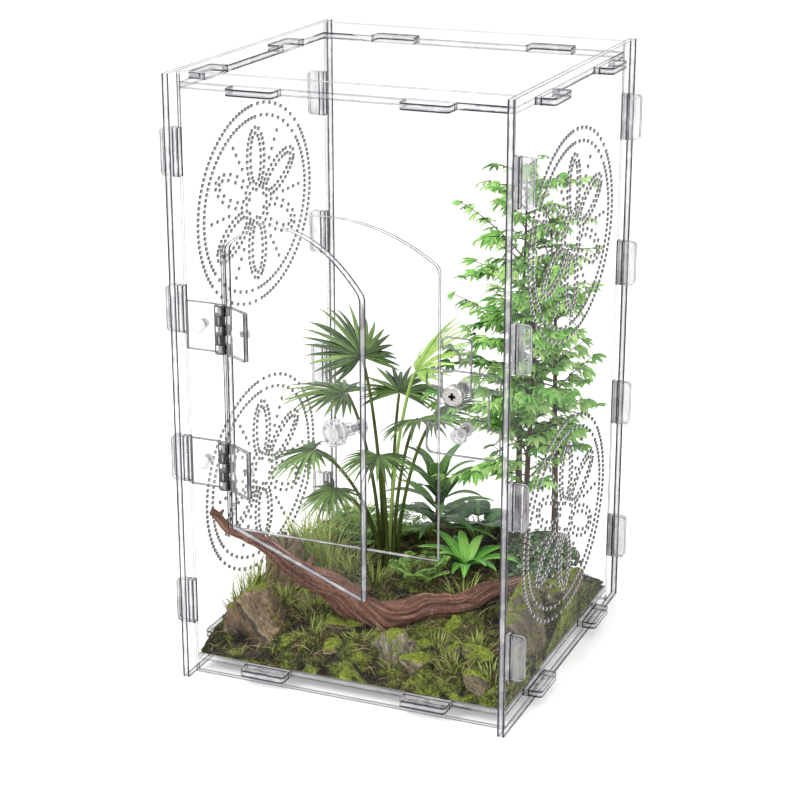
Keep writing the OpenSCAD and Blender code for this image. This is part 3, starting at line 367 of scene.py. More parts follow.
def merged(parts):
    """Joins parts into one. A part is its points, a list of face arrays, UVs or None, and tones,
    one number or one for each point, or None."""
    points = [np.asarray(p, float).reshape(-1, 3) for p, _, _, _ in parts]
    first = np.cumsum([0] + [len(p) for p in points])
    faces = [np.asarray(group) + base for base, (_, f, _, _) in zip(first, parts) for group in f]
    _, _, uv, tone = parts[0]
    if uv is not None:
        uv = np.concatenate([np.reshape(uv, (-1, 2)) for _, _, uv, _ in parts])
    if tone is not None:
        tone = np.concatenate([np.broadcast_to(tone, len(p)) for p, (_, _, _, tone) in zip(points, parts)])
    return np.concatenate(points), faces, uv, tone


def linked(name, data):
    """A new object in the scene."""
    made = bpy.data.objects.new(name, data)
    bpy.context.scene.collection.objects.link(made)
    return made


def piece(name, parts, mat, node=None, thick=0.0, smooth=True):
    """One mesh from parts in mm that rides on the enclosure. It takes the place of a CAD node, and
    a sheet gets its thickness, half to each side."""
    points, faces, uv, tone = merged(parts)
    mesh = bpy.data.meshes.new(name)
    mesh.from_pydata((points * MM).tolist(), [], [row for group in faces for row in group.tolist()])
    if uv is not None:
        corner = np.zeros(len(mesh.loops), int)
        mesh.loops.foreach_get("vertex_index", corner)
        mesh.uv_layers.new(name="UVMap").data.foreach_set("uv", uv[corner].ravel())
    if tone is not None:
        mesh.attributes.new("tone", "FLOAT", "POINT").data.foreach_set("value", tone)
    mesh.polygons.foreach_set("use_smooth", np.full(len(mesh.polygons), smooth))
    mesh.materials.append(mat)
    mesh.update()
    made = linked(name, mesh)
    if thick:
        shell = made.modifiers.new("thickness", "SOLIDIFY")
        shell.thickness, shell.offset = thick * MM, 0
    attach(made, "enclosure")
    if node:
        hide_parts(node)
    return made


def face_out(made):
    """Turns a closed mesh's faces outwards, where the volume inside it comes out negative."""
    mesh = made.data
    mesh.calc_loop_triangles()
    co = np.zeros(len(mesh.vertices) * 3)
    mesh.vertices.foreach_get("co", co)
    tri = np.zeros(len(mesh.loop_triangles) * 3, int)
    mesh.loop_triangles.foreach_get("vertices", tri)
    a, b, c = co.reshape(-1, 3)[tri.reshape(-1, 3)].transpose(1, 0, 2)
    if (a * np.cross(b, c)).sum() < 0:
        mesh.flip_normals()


def grid_faces(nu, nv, wrap=False):
    """Four-cornered faces of a grid of nu by nv points; wrap joins its last column to its first."""
    i, j = np.meshgrid(np.arange(nu - 1), np.arange(nv if wrap else nv - 1), indexing="ij")
    k = (j + 1) % nv
    return np.stack([i * nv + j, i * nv + k, (i + 1) * nv + k, (i + 1) * nv + j], -1).reshape(-1, 4)


def closed(rings, low, high):
    """Points and faces of a stack of rings that the points low and high close at its ends."""
    rows, sides = rings.shape[:2]
    k = np.arange(sides)
    j, foot = np.roll(k, -1), rows * sides
    last = foot - sides
    caps = [np.stack([0 * k + foot, j, k], -1), np.stack([0 * k + foot + 1, last + k, last + j], -1)]
    return np.concatenate([rings.reshape(-1, 3), [low], [high]]), [grid_faces(rows, sides, wrap=True), *caps]


def inside(parts, gap=1.0, top=ROOF - 4):
    """Parts as one, with its points kept gap off the walls, on the base and under top."""
    points, *rest = merged(parts)
    points = np.clip(points, [gap - IN_X, gap - IN_Y, BED_BASE], [IN_X - gap, IN_Y - gap, top])
    return [(points, *rest)]


def unit(v):
    """Vectors brought to length 1."""
    return v / np.linalg.norm(v, axis=-1, keepdims=True)


def heading(deg):
    """Level directions at angles in degrees."""
    a = np.radians(np.asarray(deg, float))
    return np.stack([np.cos(a), np.sin(a), np.zeros_like(a)], -1)


def rising(deg, rise):
    """Directions at angles in degrees that climb by rise radians."""
    rise = np.asarray(rise, float)[..., None]
    return heading(deg) * np.cos(rise) + UP * np.sin(rise)


def sin_deg(a):
    """Sine of degrees."""
    return np.sin(np.radians(a))


def cos_deg(a):
    """Cosine of degrees."""
    return np.cos(np.radians(a))


def ripple(p, size, seed, octaves=4):
    """Smooth noise from -1 to 1: sums of sines in fixed directions, each octave twice as fine and
    half as high, where size is the largest wave's length in mm."""
    draw = np.random.RandomState(seed)
    total, weight = 0.0, 0.0
    for k in range(octaves):
        for _ in range(5):
            way = unit(draw.normal(size=3)) * TAU / (size / 2 ** k) * draw.uniform(0.7, 1.3)
            bend = unit(draw.normal(size=3)) * TAU / (size * 1.7 / 2 ** k)
            total = total + np.sin(p @ way + draw.uniform(0, TAU) + 1.5 * np.sin(p @ bend)) / 2 ** k
            weight += 0.5 / 2 ** k
    return total / weight / 1.6


def midlines(base, way, up, length, droop, nu):
    """Middle lines of many blades. Each starts at base along way and turns away from up by droop
    radians, as the distance to the power 1.6. Gives points, tangents and normals, (n, nu, 3) each."""
    base, way, up = (np.atleast_2d(np.asarray(a, float)) for a in (base, way, up))
    n = max(len(base), len(way), len(up))
    base, way, up = (np.broadcast_to(a, (n, 3)) for a in (base, way, up))
    length, droop = (np.broadcast_to(np.asarray(a, float), n)[:, None] for a in (length, droop))
    way = unit(way)
    up = unit(up - (up * way).sum(-1, keepdims=True) * way)
    turn = (droop * np.linspace(0, 1, nu)[None] ** 1.6)[..., None]
    tangent = way[:, None] * np.cos(turn) - up[:, None] * np.sin(turn)
    normal = up[:, None] * np.cos(turn) + way[:, None] * np.sin(turn)
    step = np.concatenate([np.zeros((n, 1, 3)), (tangent[:, 1:] + tangent[:, :-1]) / 2], 1)
    return base[:, None] + np.cumsum(step, 1) * (length / (nu - 1))[..., None], tangent, normal


def leaves(base, way, length, width, droop=0.3, fold=0.25, outline=None, nu=6, nv=3, tone=0.5, up=UP):
    """Many leaves at once along their middle lines. A leaf is width times outline(u) wide, and its
    two halves rise from the middle by fold times their reach."""
    line, tangent, normal = midlines(base, way, up, length, droop, nu)
    n = len(line)
    u, v = np.linspace(0, 1, nu)[None], np.linspace(-1, 1, nv)
    shape = outline(u) if outline else np.sin(np.pi * u ** 0.8) ** 0.8
    half = np.maximum(shape, 0.03) * np.broadcast_to(np.asarray(width, float), n)[:, None] / 2
    reach = half[..., None] * v
    rise = np.abs(reach) * fold
    side = np.cross(normal, tangent)
    points = line[:, :, None] + reach[..., None] * side[:, :, None] + rise[..., None] * normal[:, :, None]
    faces = (np.arange(n)[:, None, None] * nu * nv + grid_faces(nu, nv)[None, :, ::-1]).reshape(-1, 4)
    uv = np.stack(np.broadcast_arrays(u[..., None], (v / 2 + 0.5)[None, None]), -1)
    return points, [faces], np.broadcast_to(uv, (n, nu, nv, 2)), np.repeat(np.broadcast_to(tone, n), nu * nv)


def strands(base, way, length, thick, droop, tone, nu=6):
    """Many thin closed strands along their middle lines, three-sided, thinner towards their tips as
    the distance left to the power 0.7."""
    line, tangent, normal = midlines(base, way, UP, length, droop, nu)
    n = len(line)
    side = np.cross(normal, tangent)
    a = TAU * np.arange(3) / 3
    u = np.linspace(0, 1, nu)
    r = (thick[:, None] / 2 * np.maximum((1 - u) ** 0.7, 0.15))[..., None, None]
    across = np.cos(a)[:, None] * side[:, :, None] + np.sin(a)[:, None] * normal[:, :, None]
    points = line[:, :, None] + r * across
    first = (np.arange(n) * nu * 3)[:, None, None]
    faces = (first + grid_faces(nu, 3, wrap=True)[None, :, ::-1]).reshape(-1, 4)
    caps = (first + np.array([[0, 1, 2], [3 * nu - 1, 3 * nu - 2, 3 * nu - 3]])[None]).reshape(-1, 3)
    uv = np.broadcast_to(np.stack(np.broadcast_arrays(u[:, None], (a / TAU)[None]), -1), (n, nu, 3, 2))
    return points, [faces, caps], uv, np.repeat(tone, nu * 3)


def tube(path, radii, sides=8, lumps=None):
    """A closed tube along a path of points, with its own radius at each. lumps(angle, row) scales
    the radius round it, and the UV map runs in mm along the path and round it."""
    path, radii = np.asarray(path, float), np.asarray(radii, float)
    way = unit(np.gradient(path, axis=0))
    ref = np.array([0.0, 1.0, 0.0]) if abs(way[:, 1]).max() < 0.9 else np.array([1.0, 0.0, 0.0])
    a = unit(np.cross(ref, way))[:, None]
    b = np.cross(way, a[:, 0])[:, None]
    angle = TAU * np.arange(sides) / sides
    r = radii[:, None] * (lumps(angle[None], np.arange(len(path))[:, None]) if lumps else 1)
    r = np.broadcast_to(r, (len(path), sides))[..., None]
    rings = path[:, None] + r * (np.cos(angle)[None, :, None] * a + np.sin(angle)[None, :, None] * b)
    points, faces = closed(rings, path[0], path[-1])
    far = np.concatenate([[0], np.cumsum(np.linalg.norm(np.diff(path, axis=0), axis=1))])
    uv = np.stack(np.broadcast_arrays(far[:, None], (angle * radii.mean())[None]), -1).reshape(-1, 2)
    return points, faces, np.concatenate([uv, [[far[0], 0], [far[-1], 0]]]), 0.5


def spline(points, t):
    """A smooth curve through points, at whole-number steps of t (Catmull-Rom)."""
    p = np.asarray(points, float).reshape(len(points), -1)
    i = np.minimum(t.astype(int), len(p) - 2)
    f = (t - i)[:, None]
    a, b, c, d = p[np.maximum(i - 1, 0)], p[i], p[i + 1], p[np.minimum(i + 2, len(p) - 1)]
    return 0.5 * (2 * b + (c - a) * f + (2 * a - 5 * b + 4 * c - d) * f ** 2
                  + (3 * b - a - 3 * c + d) * f ** 3)


def lobed(a, seed):
    """Radius share of a round outline with three broad lobes and five narrow ones."""
    return 1 - 0.09 * (1 + sin_deg(3 * a + seed)) - 0.05 * (1 + cos_deg(5 * a - seed))


def lobes(high, count, twist):
    """Lumps of a tube: waves round it that twist along its rows."""
    return lambda angle, row: 1 + high * np.sin(count * angle + twist * row)


def rounded(u):
    """Outline of a round leaf: a half circle."""
    return np.sqrt(np.clip(1 - (2 * u - 1) ** 2, 0, 1))


# ---------- the landscape's ground

MOUNDS = [    # middle, radius and height of the larger swells of moss
    (14, -10, 27, 9), (-16, -32, 13, 6), (50, 6, 20, 5), (-38, -56, 15, 5), (44, -76, 20, 6),
    (-4, -84, 17, 4), (76, -78, 20, 8), (-30, -80, 14, 3), (-62, 40, 26, 5), (20, 74, 26, 5),
    (-84, -40, 12, 4), (30, -48, 12, 3),
]
DIPS = [    # middle, radius and depth of its hollows
    (95, -24, 36, 16), (96, 93, 64, 18), (-84, -93, 32, 15), (14, -92, 16, 8), (-46, -90, 14, 4),
]
STONES_AT = [(33, -58), (44, -37), (54, -64), (70, -70), (-12, -80), (-24, -60), (-42, -72), (-90, -50),
             (-12, -48), (40, -84), (88, -62), (-34, -36), (78, -88), (89, 16), (91, 34)]


def ground(x, y):
    """Height of the bed: it rises from front to back, less so on the left, with slow hummocks."""
    t = np.clip((y + IN_Y) / (1.2 * IN_Y), 0, 1)
    across = np.clip(1 + x / IN_X, 0, 1)
    rise = t * t * (3 - 2 * t) * (0.4 + 0.6 * across * across * (3 - 2 * across))
    waves = sin_deg(3.1 * x + 40) * cos_deg(3.7 * y - 20) + 0.5 * sin_deg(7.3 * x - 5.1 * y)
    return BED_BASE + 11 + 16 * rise + 3 * waves


def cushions(x, y):
    """Moss cushions: at each point the highest of many round domes, from 0 in the hollows to 1."""
    draw = np.random.RandomState(7)
    n, widest = 420, 12
    cx, cy = draw.uniform(-IN_X, IN_X, n), draw.uniform(-IN_Y, IN_Y, n)
    best = np.zeros_like(x)
    for at_x, at_y, r in zip(cx, cy, draw.uniform(4.5, widest, n)):
        d = ((x - at_x) ** 2 + ((y - at_y) * 1.1) ** 2) / r ** 2
        best = np.maximum(best, np.sqrt(np.clip(1 - d, 0, 1)) * (0.4 + 0.6 * r / widest))
    return best


def moss_top(x, y):
    """The moss surface and how high on a cushion each point is: the bed, larger swells as
    squared cosines, dips in the same way, cushions, and a fine ripple."""
    def share(cx, cy, r):
        return np.clip(np.hypot(x - cx, y - cy) / r, 0, 1)

    dome = cushions(x, y)
    swell = np.max([high * np.cos(share(*at) * np.pi / 2) ** 2 for *at, high in MOUNDS], 0)
    for *at, deep in DIPS:
        near = share(*at)
        swell = swell - deep * np.cos(near * np.pi / 2) ** 2
        dome = dome * (1 - 0.05 * deep * (near < 1))
    lift = swell + 6.5 * dome - 4.2 + 1.2 * ripple(np.stack([x, y, 0 * x], -1), 9, 3)
    return np.maximum(ground(x, y) + lift, BED_BASE + 1.5), dome


def moss_bed():
    """A block whose top is the moss surface over a grid. Its sides are moss as well, pressed to
    the glass, with hollows that reach in by up to 3 mm, and its underside is flat."""
    n, rows = 200, 22
    lx, ly = IN_X - 0.3, IN_Y - 0.3
    x, y = np.meshgrid(np.linspace(-lx, lx, n), np.linspace(-ly, ly, n), indexing="ij")
    z, dome = moss_top(x, y)
    top = np.stack([x, y, z], -1).reshape(-1, 3)
    back = np.arange(n - 2, -1, -1)
    rim = np.concatenate([np.arange(n) * n, (n - 1) * n + np.arange(1, n), back * n + n - 1, back[:-1]])
    drop = np.linspace(1, 0, rows)[1:, None]
    low = np.repeat(top[rim][None], rows - 1, 0)
    low[..., 2] = BED_BASE + (low[..., 2] - BED_BASE) * drop
    lumps = np.clip(0.5 + 0.9 * ripple(low, 13, 17), 0, 1)
    inward = 3.0 * (1 - lumps) * np.sin(np.pi * drop) ** 0.5
    low[..., :2] *= 1 - inward[..., None] / lx
    ring = [rim, *(n * n + np.arange(lumps.size).reshape(lumps.shape))]
    walls = [np.stack([a, np.roll(a, -1), np.roll(b, -1), b], -1) for a, b in zip(ring, ring[1:])]
    faces = [grid_faces(n, n)[:, ::-1], *walls, ring[-1][None, ::-1]]
    block = np.concatenate([top, low.reshape(-1, 3)]), faces, None, np.append(dome, 0.9 * lumps)
    face_out(piece("moss_bed_surface", [block], living_moss("cushion moss on soil"), "moss_bed"))


def on_rock(x, y):
    """True where a rock or the stump stands, but for its outer tenth."""
    hit = np.zeros(np.shape(x), bool)
    for (cx, cy), size, _ in (BIG_ROCK, SMALL_ROCK, MID_ROCK, RIGHT_ROCK, (STUMP_AT, (STUMP_D, STUMP_D), 0)):
        hit |= ((x - cx) / (size[0] * 0.45)) ** 2 + ((y - cy) / (size[1] * 0.45)) ** 2 < 1
    return hit


def moss_tufts():
    """Short upright shoots of moss, as slim three-sided spikes, thickest on the cushions."""
    draw = np.random.RandomState(11)
    n, gap = 40000, 1.6
    x, y = draw.uniform(gap - IN_X, IN_X - gap, n), draw.uniform(gap - IN_Y, IN_Y - gap, n)
    z, dome = moss_top(x, y)
    keep = (draw.uniform(0, 1, n) < 0.15 + 1.2 * dome) & ~on_rock(x, y)
    foot = np.stack([x, y, z - 0.4], -1)[keep]
    n = len(foot)
    h = draw.uniform(1.0, 3.2, n)
    r = draw.uniform(0.22, 0.45, n)
    lean = heading(draw.uniform(0, 360, n)) * (h * draw.uniform(0.1, 0.7, n))[:, None]
    spin = np.degrees(draw.uniform(0, TAU, n))
    corners = [foot + r[:, None] * heading(spin + 120 * k) for k in range(3)]
    points = np.stack([*corners, foot + lean + UP * h[:, None]], 1)
    spike = np.array([(0, 1, 3), (1, 2, 3), (2, 0, 3), (2, 1, 0)])[:, None]
    faces = (np.arange(n)[:, None] * 4 + spike).reshape(-1, 3)
    shoots = points, [faces], None, np.repeat(draw.uniform(0.3, 1, n), 4)
    piece("moss_tufts", [shoots], living_moss("moss shoots", shoots=True), smooth=False)


def boulder(name, node, spec, rock, tones, moss_share, rough_mm, bed_way=(0.5, 0.3, 0.8), hollow=None):
    """A rock: at height share t its ring is a lobed ellipse times sqrt(1 - t^2), dented as t grows,
    with ridged ripples and steps across bed_way pressed into it. hollow is the middle, radius and
    depth of a cave, which sinks as a bell curve; the same curve goes to the tone attribute, which
    paints the cave's shade."""
    at, (lx, ly, lz), seed = spec
    sides = 130
    t = np.linspace(0, 1, 60)[:, None] ** 0.8
    a = 360 * np.arange(sides)[None] / sides
    s = np.maximum(0.01, np.sqrt(np.clip(1 - t * t * 0.9995, 0, 1)))
    f = lobed(a, seed) * s * (1 - 0.1 * t * (1 + sin_deg(150 * t + 4 * a + seed)) / 2)
    x = lx / 2 * cos_deg(a) * f + 0.08 * t * lx * (1 - s)
    z = lz * t * (1 - 0.06 * (1 - t) * (1 + sin_deg(3 * a + seed)))
    p = np.stack(np.broadcast_arrays(x, ly / 2 * sin_deg(a) * f, z), -1)
    ridged = 1 - 2 * np.abs(ripple(p, 17, seed, 3))
    level = p @ unit(np.array(bed_way)) / 4.2 + 1.2 * ripple(p, 20, seed + 2, 2)
    terrace = np.abs((level % 1) * 2 - 1) ** 2
    push = rough_mm * (0.5 * ridged + 0.6 * ripple(p, 6, seed + 1, 3) + 0.8 * terrace - 0.9)
    push = push * np.clip(t * 8, 0, 1) * np.clip((1 - t) * 6, 0.15, 1)
    out = unit(p + UP * lz * 0.25)
    foot = np.array([*at, BED_BASE])
    p, tone = p + foot, 0.0
    if hollow:
        middle, radius, deep = hollow
        cave_depth_and_shade = np.exp(-(((p - middle) / radius) ** 2).sum(-1))
        # the cave's bell curve also goes to the tone attribute, as painted shade
        push, tone = push - deep * cave_depth_and_shade, np.append(cave_depth_and_shade, [0, 0])
    p = p + out * push[..., None]
    stone = *closed(p, foot, p[-1].mean(0)), None, tone
    piece(name, [stone], mossy_rock(rock, tones, moss_share, bed_way), node)


def stones():
    """Small broken stones half sunk in the moss: balls rippled in ridges and cut flat by planes at
    random, so that points past a plane move back on to it."""
    draw = np.random.RandomState(19)
    u = np.linspace(0.03, np.pi - 0.03, 36)
    parts = []
    for k, (x, y) in enumerate(STONES_AT):
        half = 0.62 * np.array([draw.uniform(14, 26), draw.uniform(10, 16), draw.uniform(10, 15)])
        p, faces, _, _ = tube(-np.cos(u)[:, None] * UP, np.sin(u), 44)
        for _ in range(11):
            way = unit(draw.normal(size=3))
            p = p - 0.92 * np.clip(p @ way - draw.uniform(0.5, 0.8), 0, None)[:, None] * way
        ridged = 1 - 2 * np.abs(ripple(p + 9 * k, 1.2, k, 3))
        p = p * (1 + 0.14 * ridged + 0.08 * ripple(p + 5 * k, 0.5, k + 1, 2))[:, None] * half
        turn = draw.uniform(0, TAU)
        c, s = np.cos(turn), np.sin(turn)
        p = p @ np.array([[c, s, 0], [-s, c, 0], [0, 0, 1]])
        z, _ = moss_top(np.array([float(x)]), np.array([float(y)]))
        parts.append((p + [x, y, max(z[0] - 1.0, BED_BASE + half[2])], faces, None, 0.0))
    tones = ("#1B140D", "#66573F", "#978767", "#D3C6A8")
    rock = mossy_rock("small weathered stones", tones, 0.45, (0.4, 0.6, 0.6))
    piece("small_stones", inside(parts, 0.5, 90), rock)


def stump():
    """A stump: its ring flares towards the foot and leans, ridged all round like bark, and its top
    is broken into teeth round a sunken middle."""
    rows, sides = 40, 110
    t = np.linspace(0, 1, rows)[:, None]
    a = 360 * np.arange(sides)[None] / sides
    turn = np.radians(a)
    r = STUMP_D * 1.25 / 2
    s = 0.72 + 0.28 * (1 - t) ** 2.5
    ridge = 1 + 0.05 * np.sin(turn * 14 + 2.5 * np.sin(5 * t)) + 0.02 * np.sin(turn * 31 + 9 * t)
    x, y = (r * lobed(a, STUMP_SEED) * part for part in (cos_deg(a), sin_deg(a)))
    z = STUMP_H * t - 2 * t * x / STUMP_D * s + 1.6 * t ** 8 * np.sin(turn * 9 + 1)
    p = np.stack([x * s * ridge, y * s * ridge, z], -1)
    bark = 0.7 * ripple(p, 9, 5, 3) * np.clip(6 * t, 0, 1)
    p = p + unit(p * [1, 1, 0] + [1e-6, 0, 0]) * bark[..., None]
    rot = [p[-1:] * [share, share, 1] - [0, 0, dip] for share, dip in ((0.8, 1.5), (0.5, 4.5), (0.2, 6.0))]
    foot = np.array([*STUMP_AT, BED_BASE])
    p = np.concatenate([p, *rot]) + foot
    uv = np.stack(np.broadcast_arrays(np.arange(len(p))[:, None] * STUMP_H / rows, turn * r), -1)
    uv = np.concatenate([uv.reshape(-1, 2), [[0, 0], [STUMP_H, 0]]])
    wood = old_wood("weathered stump wood", ("#2E2216", "#78654A", "#A89675", "#DCCFB0"), 0.28, 2.6)
    piece("stump_bark", [(*closed(p, foot, p[-1].mean(0)), uv, None)], wood, "stump")


KNOTS = [(1.4, 0.25, 0.10), (2.6, 0.3, 0.12), (4.2, 0.32, 0.15), (5.6, 0.3, 0.12), (7.1, 0.25, 0.12)]
SIDE_ROOTS = [    # place on the driftwood's curve, direction, length, radius
    (0.5, (-0.2, 0.5, 0.8), 8, 1.3), (1.6, (0.5, 0.1, 0.9), 9, 1.8), (2.55, (-0.1, 0.7, 0.6), 14, 2.6),
    (3.4, (0.6, 0.5, 0.4), 16, 3.0), (4.25, (-0.3, 0.9, 0.5), 12, 2.6), (5.2, (0.2, -0.75, 0.2), 13, 2.6),
    (6.1, (0.5, -0.5, 0.5), 11, 2.2), (7.2, (0.6, -0.6, 0.3), 14, 2.0),
]


def driftwood():
    """A gnarled root: a tube on a smooth curve that wanders, whose section is scored by twisting
    grooves, swells at knots and splits into strands, with broken side roots."""
    t = np.linspace(0, len(DRIFT) - 1, 300)
    slim = np.interp(t, [0, 1, 2, 3, 4, 5, 6, 9], [0.9, 0.72, 0.68, 0.82, 0.95, 0.9, 0.92, 1.0])
    wander = np.stack([np.sin(3.1 * t), np.sin(4.3 * t + 1), 1.5 * np.sin(3.7 * t + 2)], -1)
    path = spline(DRIFT, t) + wander * np.clip(t * 2, 0, 1)[:, None]
    swell = 1 + 0.05 * np.sin(4 * t) + 0.03 * np.sin(9 * t + 1)
    r = DRIFT_D / 2 * spline(DRIFT_THICK, t)[:, 0] * slim * swell
    knots = sum(high * np.exp(-((t - at) / wide) ** 2) for at, high, wide in KNOTS)

    def grooves(angle, row):
        twist = 0.014 * row
        deep = 0.11 * np.sin(3 * angle + twist) + 0.08 * np.sin(7 * angle - 1.3 * twist + 1)
        deep = deep + 0.055 * np.sin(13 * angle + 1.7 * twist)
        split = np.sin(23 * angle - 0.8 * twist + 2 * np.sin(0.04 * row)) * np.sin(0.035 * row + 2 * angle)
        return 0.95 + deep + 0.05 * split + knots[row] * np.clip(np.cos(angle - 0.06 * row), -0.2, 1)

    parts = [tube(path, r, 90, grooves)]
    s = np.linspace(0, 1, 22)[:, None]
    for at, way, size, thick in SIDE_ROOTS:
        line = spline(DRIFT, np.array([at])) + s * size * unit(np.array(way)) + s ** 2 * [2.0, 1.0, -2.5]
        parts.append(tube(line, thick * (1 - s[:, 0]) ** 0.6 + 0.3, 20, lobes(0.16, 4, 0.3)))
    wood = old_wood("red brown driftwood", ("#1E0E08", "#643628", "#9A6855", "#E0C2AE"), fibre_mm=1.9)
    piece("driftwood_root", inside(parts, 0.5, 120), wood, "driftwood")


# ---------- plants

GOLDEN = 137.5    # degrees from one leaf on a stem to the next
FINGERS = np.radians([-74, -38, 0, 38, 74])   # where the leaflets of a hand point
WISPS = [    # place, shortest and longest blade of the wild grass
    (-93, -22, 10, 24), (-92, -36, 12, 34), (-88, 8, 10, 24), (-91, -50, 10, 28), (-66, -38, 6, 13),
    (-40, -48, 7, 14), (42, -62, 5, 10), (66, -58, 5, 11), (-4, -66, 5, 10), (-34, -70, 5, 10),
    (60, -80, 5, 11), (84, -84, 6, 12), (40, -12, 8, 15), (-40, 4, 12, 24), (-20, -6, 10, 18),
]


def on_bed(x, y, z=0.0):
    """A point on the bed, or z above it."""
    return np.array([x, y, ground(x, y) + z])


def arch_path(foot, deg, reach, height):
    """An arching stem: it goes out by reach times t^1.8 while it climbs by 1 - (1 - t)^1.25."""
    t = np.linspace(0, 1, 25)[:, None]
    climb = UP * (height + HOLE_DEEP) * (1 - (1 - t) ** 1.25)
    return on_bed(*foot, -HOLE_DEEP) + reach * t ** 1.8 * heading(deg) + climb


def fan(hub, deg, tilt, radius, spread, count, seed):
    """A folded fan: leaflets turned through spread degrees in the fan's plane, the middle ones
    longest, each narrow, folded and bent down at its tip."""
    draw = np.random.RandomState(seed)
    out = rising(deg, np.radians(tilt))
    side = np.cross(UP, heading(deg))
    normal = np.cross(out, side)
    a = np.linspace(-spread / 2, spread / 2, count) + draw.uniform(-1.5, 1.5, count)
    off = draw.uniform(-0.05, 0.05, count)[:, None] * normal
    way = cos_deg(a)[:, None] * out + sin_deg(a)[:, None] * side + off
    length = radius * (0.78 + 0.22 * cos_deg(a)) * draw.uniform(0.92, 1.0, count)
    wide = np.pi * radius * spread / 360 / count
    broad = 0.42

    def outline(u):
        return np.where(u < broad, 0.12 + 0.88 * (u / broad), np.clip((1 - u) / (1 - broad), 0, 1) ** 0.75)

    return leaves(hub + 1.2 * out, way, length, wide, draw.uniform(0.25, 0.85, count), 0.4, outline, 9,
                  tone=draw.uniform(0.1, 0.9, count), up=normal)


def palm():
    """Eight dark fans on arching stems."""
    stems, fans = [], []
    for k, (deg, reach, height, radius, tilt) in enumerate(PALM_LEAVES):
        path = arch_path(np.array(PALM_AT) + PALM_RING * heading(deg)[:2], deg, reach, height)
        stems.append(tube(path, PALM_STEM_D / 2 * np.linspace(1.15, 0.85, len(path))))
        fans.append(fan(path[-1], deg, tilt, radius, 235, 25, 40 + k))
    fibre = old_wood("palm stem fibre", ("#232A12", "#4A5A24", "#6E7E36", "#8C9A50"))
    green = leaf("dark palm leaf", "#10200B", "#2B481B", "#84A855", 0.36)
    piece("palm_stalks", stems, fibre, "palm_stems")
    piece("palm_fan_leaflets", fans, green, "palm_fans", 0.3)


def young_palm_fan():
    """The palm's young leaf, a light green fan that has opened less."""
    deg, reach, height, radius, tilt = YOUNG_FAN
    path = arch_path(PALM_AT, deg, reach, height)
    light = leaf("young palm leaf", "#62932A", "#9ACB4C", "#D3EE92", 0.4)
    stalk = leaf("young palm stalk", "#5E8A22", "#8DB544", "#B9D673")
    leaflets = fan(path[-1], deg, tilt, radius, 165, 19, 60)
    piece("young_fan_leaflets", [leaflets], light, "young_fan", 0.3)
    stem = tube(path, np.full(len(path), PALM_STEM_D / 2))
    piece("young_fan_stalk", [stem], stalk, "young_fan")


def broadleaf():
    """A whorl of arching lance-shaped leaves up a short stem."""
    draw = np.random.RandomState(21)
    n, rows = 26, 16
    share = np.arange(n) / n
    deg = GOLDEN * np.arange(n)
    base = on_bed(*BROADLEAF_AT) + UP * (BROADLEAF_H * (0.3 + 0.7 * share))[:, None] + 1.5 * heading(deg)
    way = rising(deg, np.radians(22 + 40 * share + draw.uniform(-6, 6, n)))
    blades = leaves(base, way, 40 - 12 * share, 6.5, 0.9, 0.3, nu=10, tone=draw.uniform(0, 1, n))
    line = on_bed(*BROADLEAF_AT, -HOLE_DEEP) + np.linspace(0, BROADLEAF_H + HOLE_DEEP, rows)[:, None] * UP
    stalk = tube(line, BROADLEAF_D / 2 * np.linspace(1, 0.75, rows), 12, lobes(0.05, 3, 2.1))
    glossy = leaf("broad glossy leaf", "#15380F", "#2B5E22", "#78AC52", 0.3)
    scars = old_wood("brown leaf scars", ("#2B2013", "#5B452B", "#7C6340", "#A08860"))
    piece("broadleaf_blades", [blades], glossy, "broadleaf_leaves", 0.35)
    piece("broadleaf_stalk", [stalk], scars, "broadleaf_stem")


def shrub_point(k, t):
    """A point on trunk k at height share t: the trunk leans as t squared."""
    top = SHRUB_H * (1 - 0.12 * k)
    return on_bed(*SHRUB_AT[k], -HOLE_DEEP) + 7 * t * t * heading(100 + 115 * k) + UP * (top + HOLE_DEEP) * t


def wall_room(p, deg):
    """Distance from a point to the nearest wall along a heading."""
    axes = zip(p, heading(deg), (IN_X, IN_Y))
    return min((edge * np.sign(w) - q) / w for q, w, edge in axes if abs(w) > 0.01)


def hand(draw, foot, deg, along):
    """A hand of five pointed leaflets at a place on a twig, spread like fingers: their feet,
    directions, upper sides, lengths and tones."""
    lean = draw.uniform(-0.9, 0.9)
    out = unit(heading(deg) + lean * np.cross(UP, heading(deg)) + UP * draw.uniform(-0.5, 0.35))
    flat = unit(UP + draw.uniform(-0.7, 0.7, 3))
    across = unit(np.cross(flat, out))
    size = draw.uniform(8.5, 13.5) * (1 - 0.12 * along)
    tone = np.clip(draw.uniform(0, 1) + draw.uniform(-0.2, 0.2, len(FINGERS)), 0, 1)
    f = FINGERS[:, None]
    way = out * np.cos(f) + across * np.sin(f)
    return foot + 0 * f, way, flat + 0 * f, size * (1 - 0.28 * abs(FINGERS)), tone


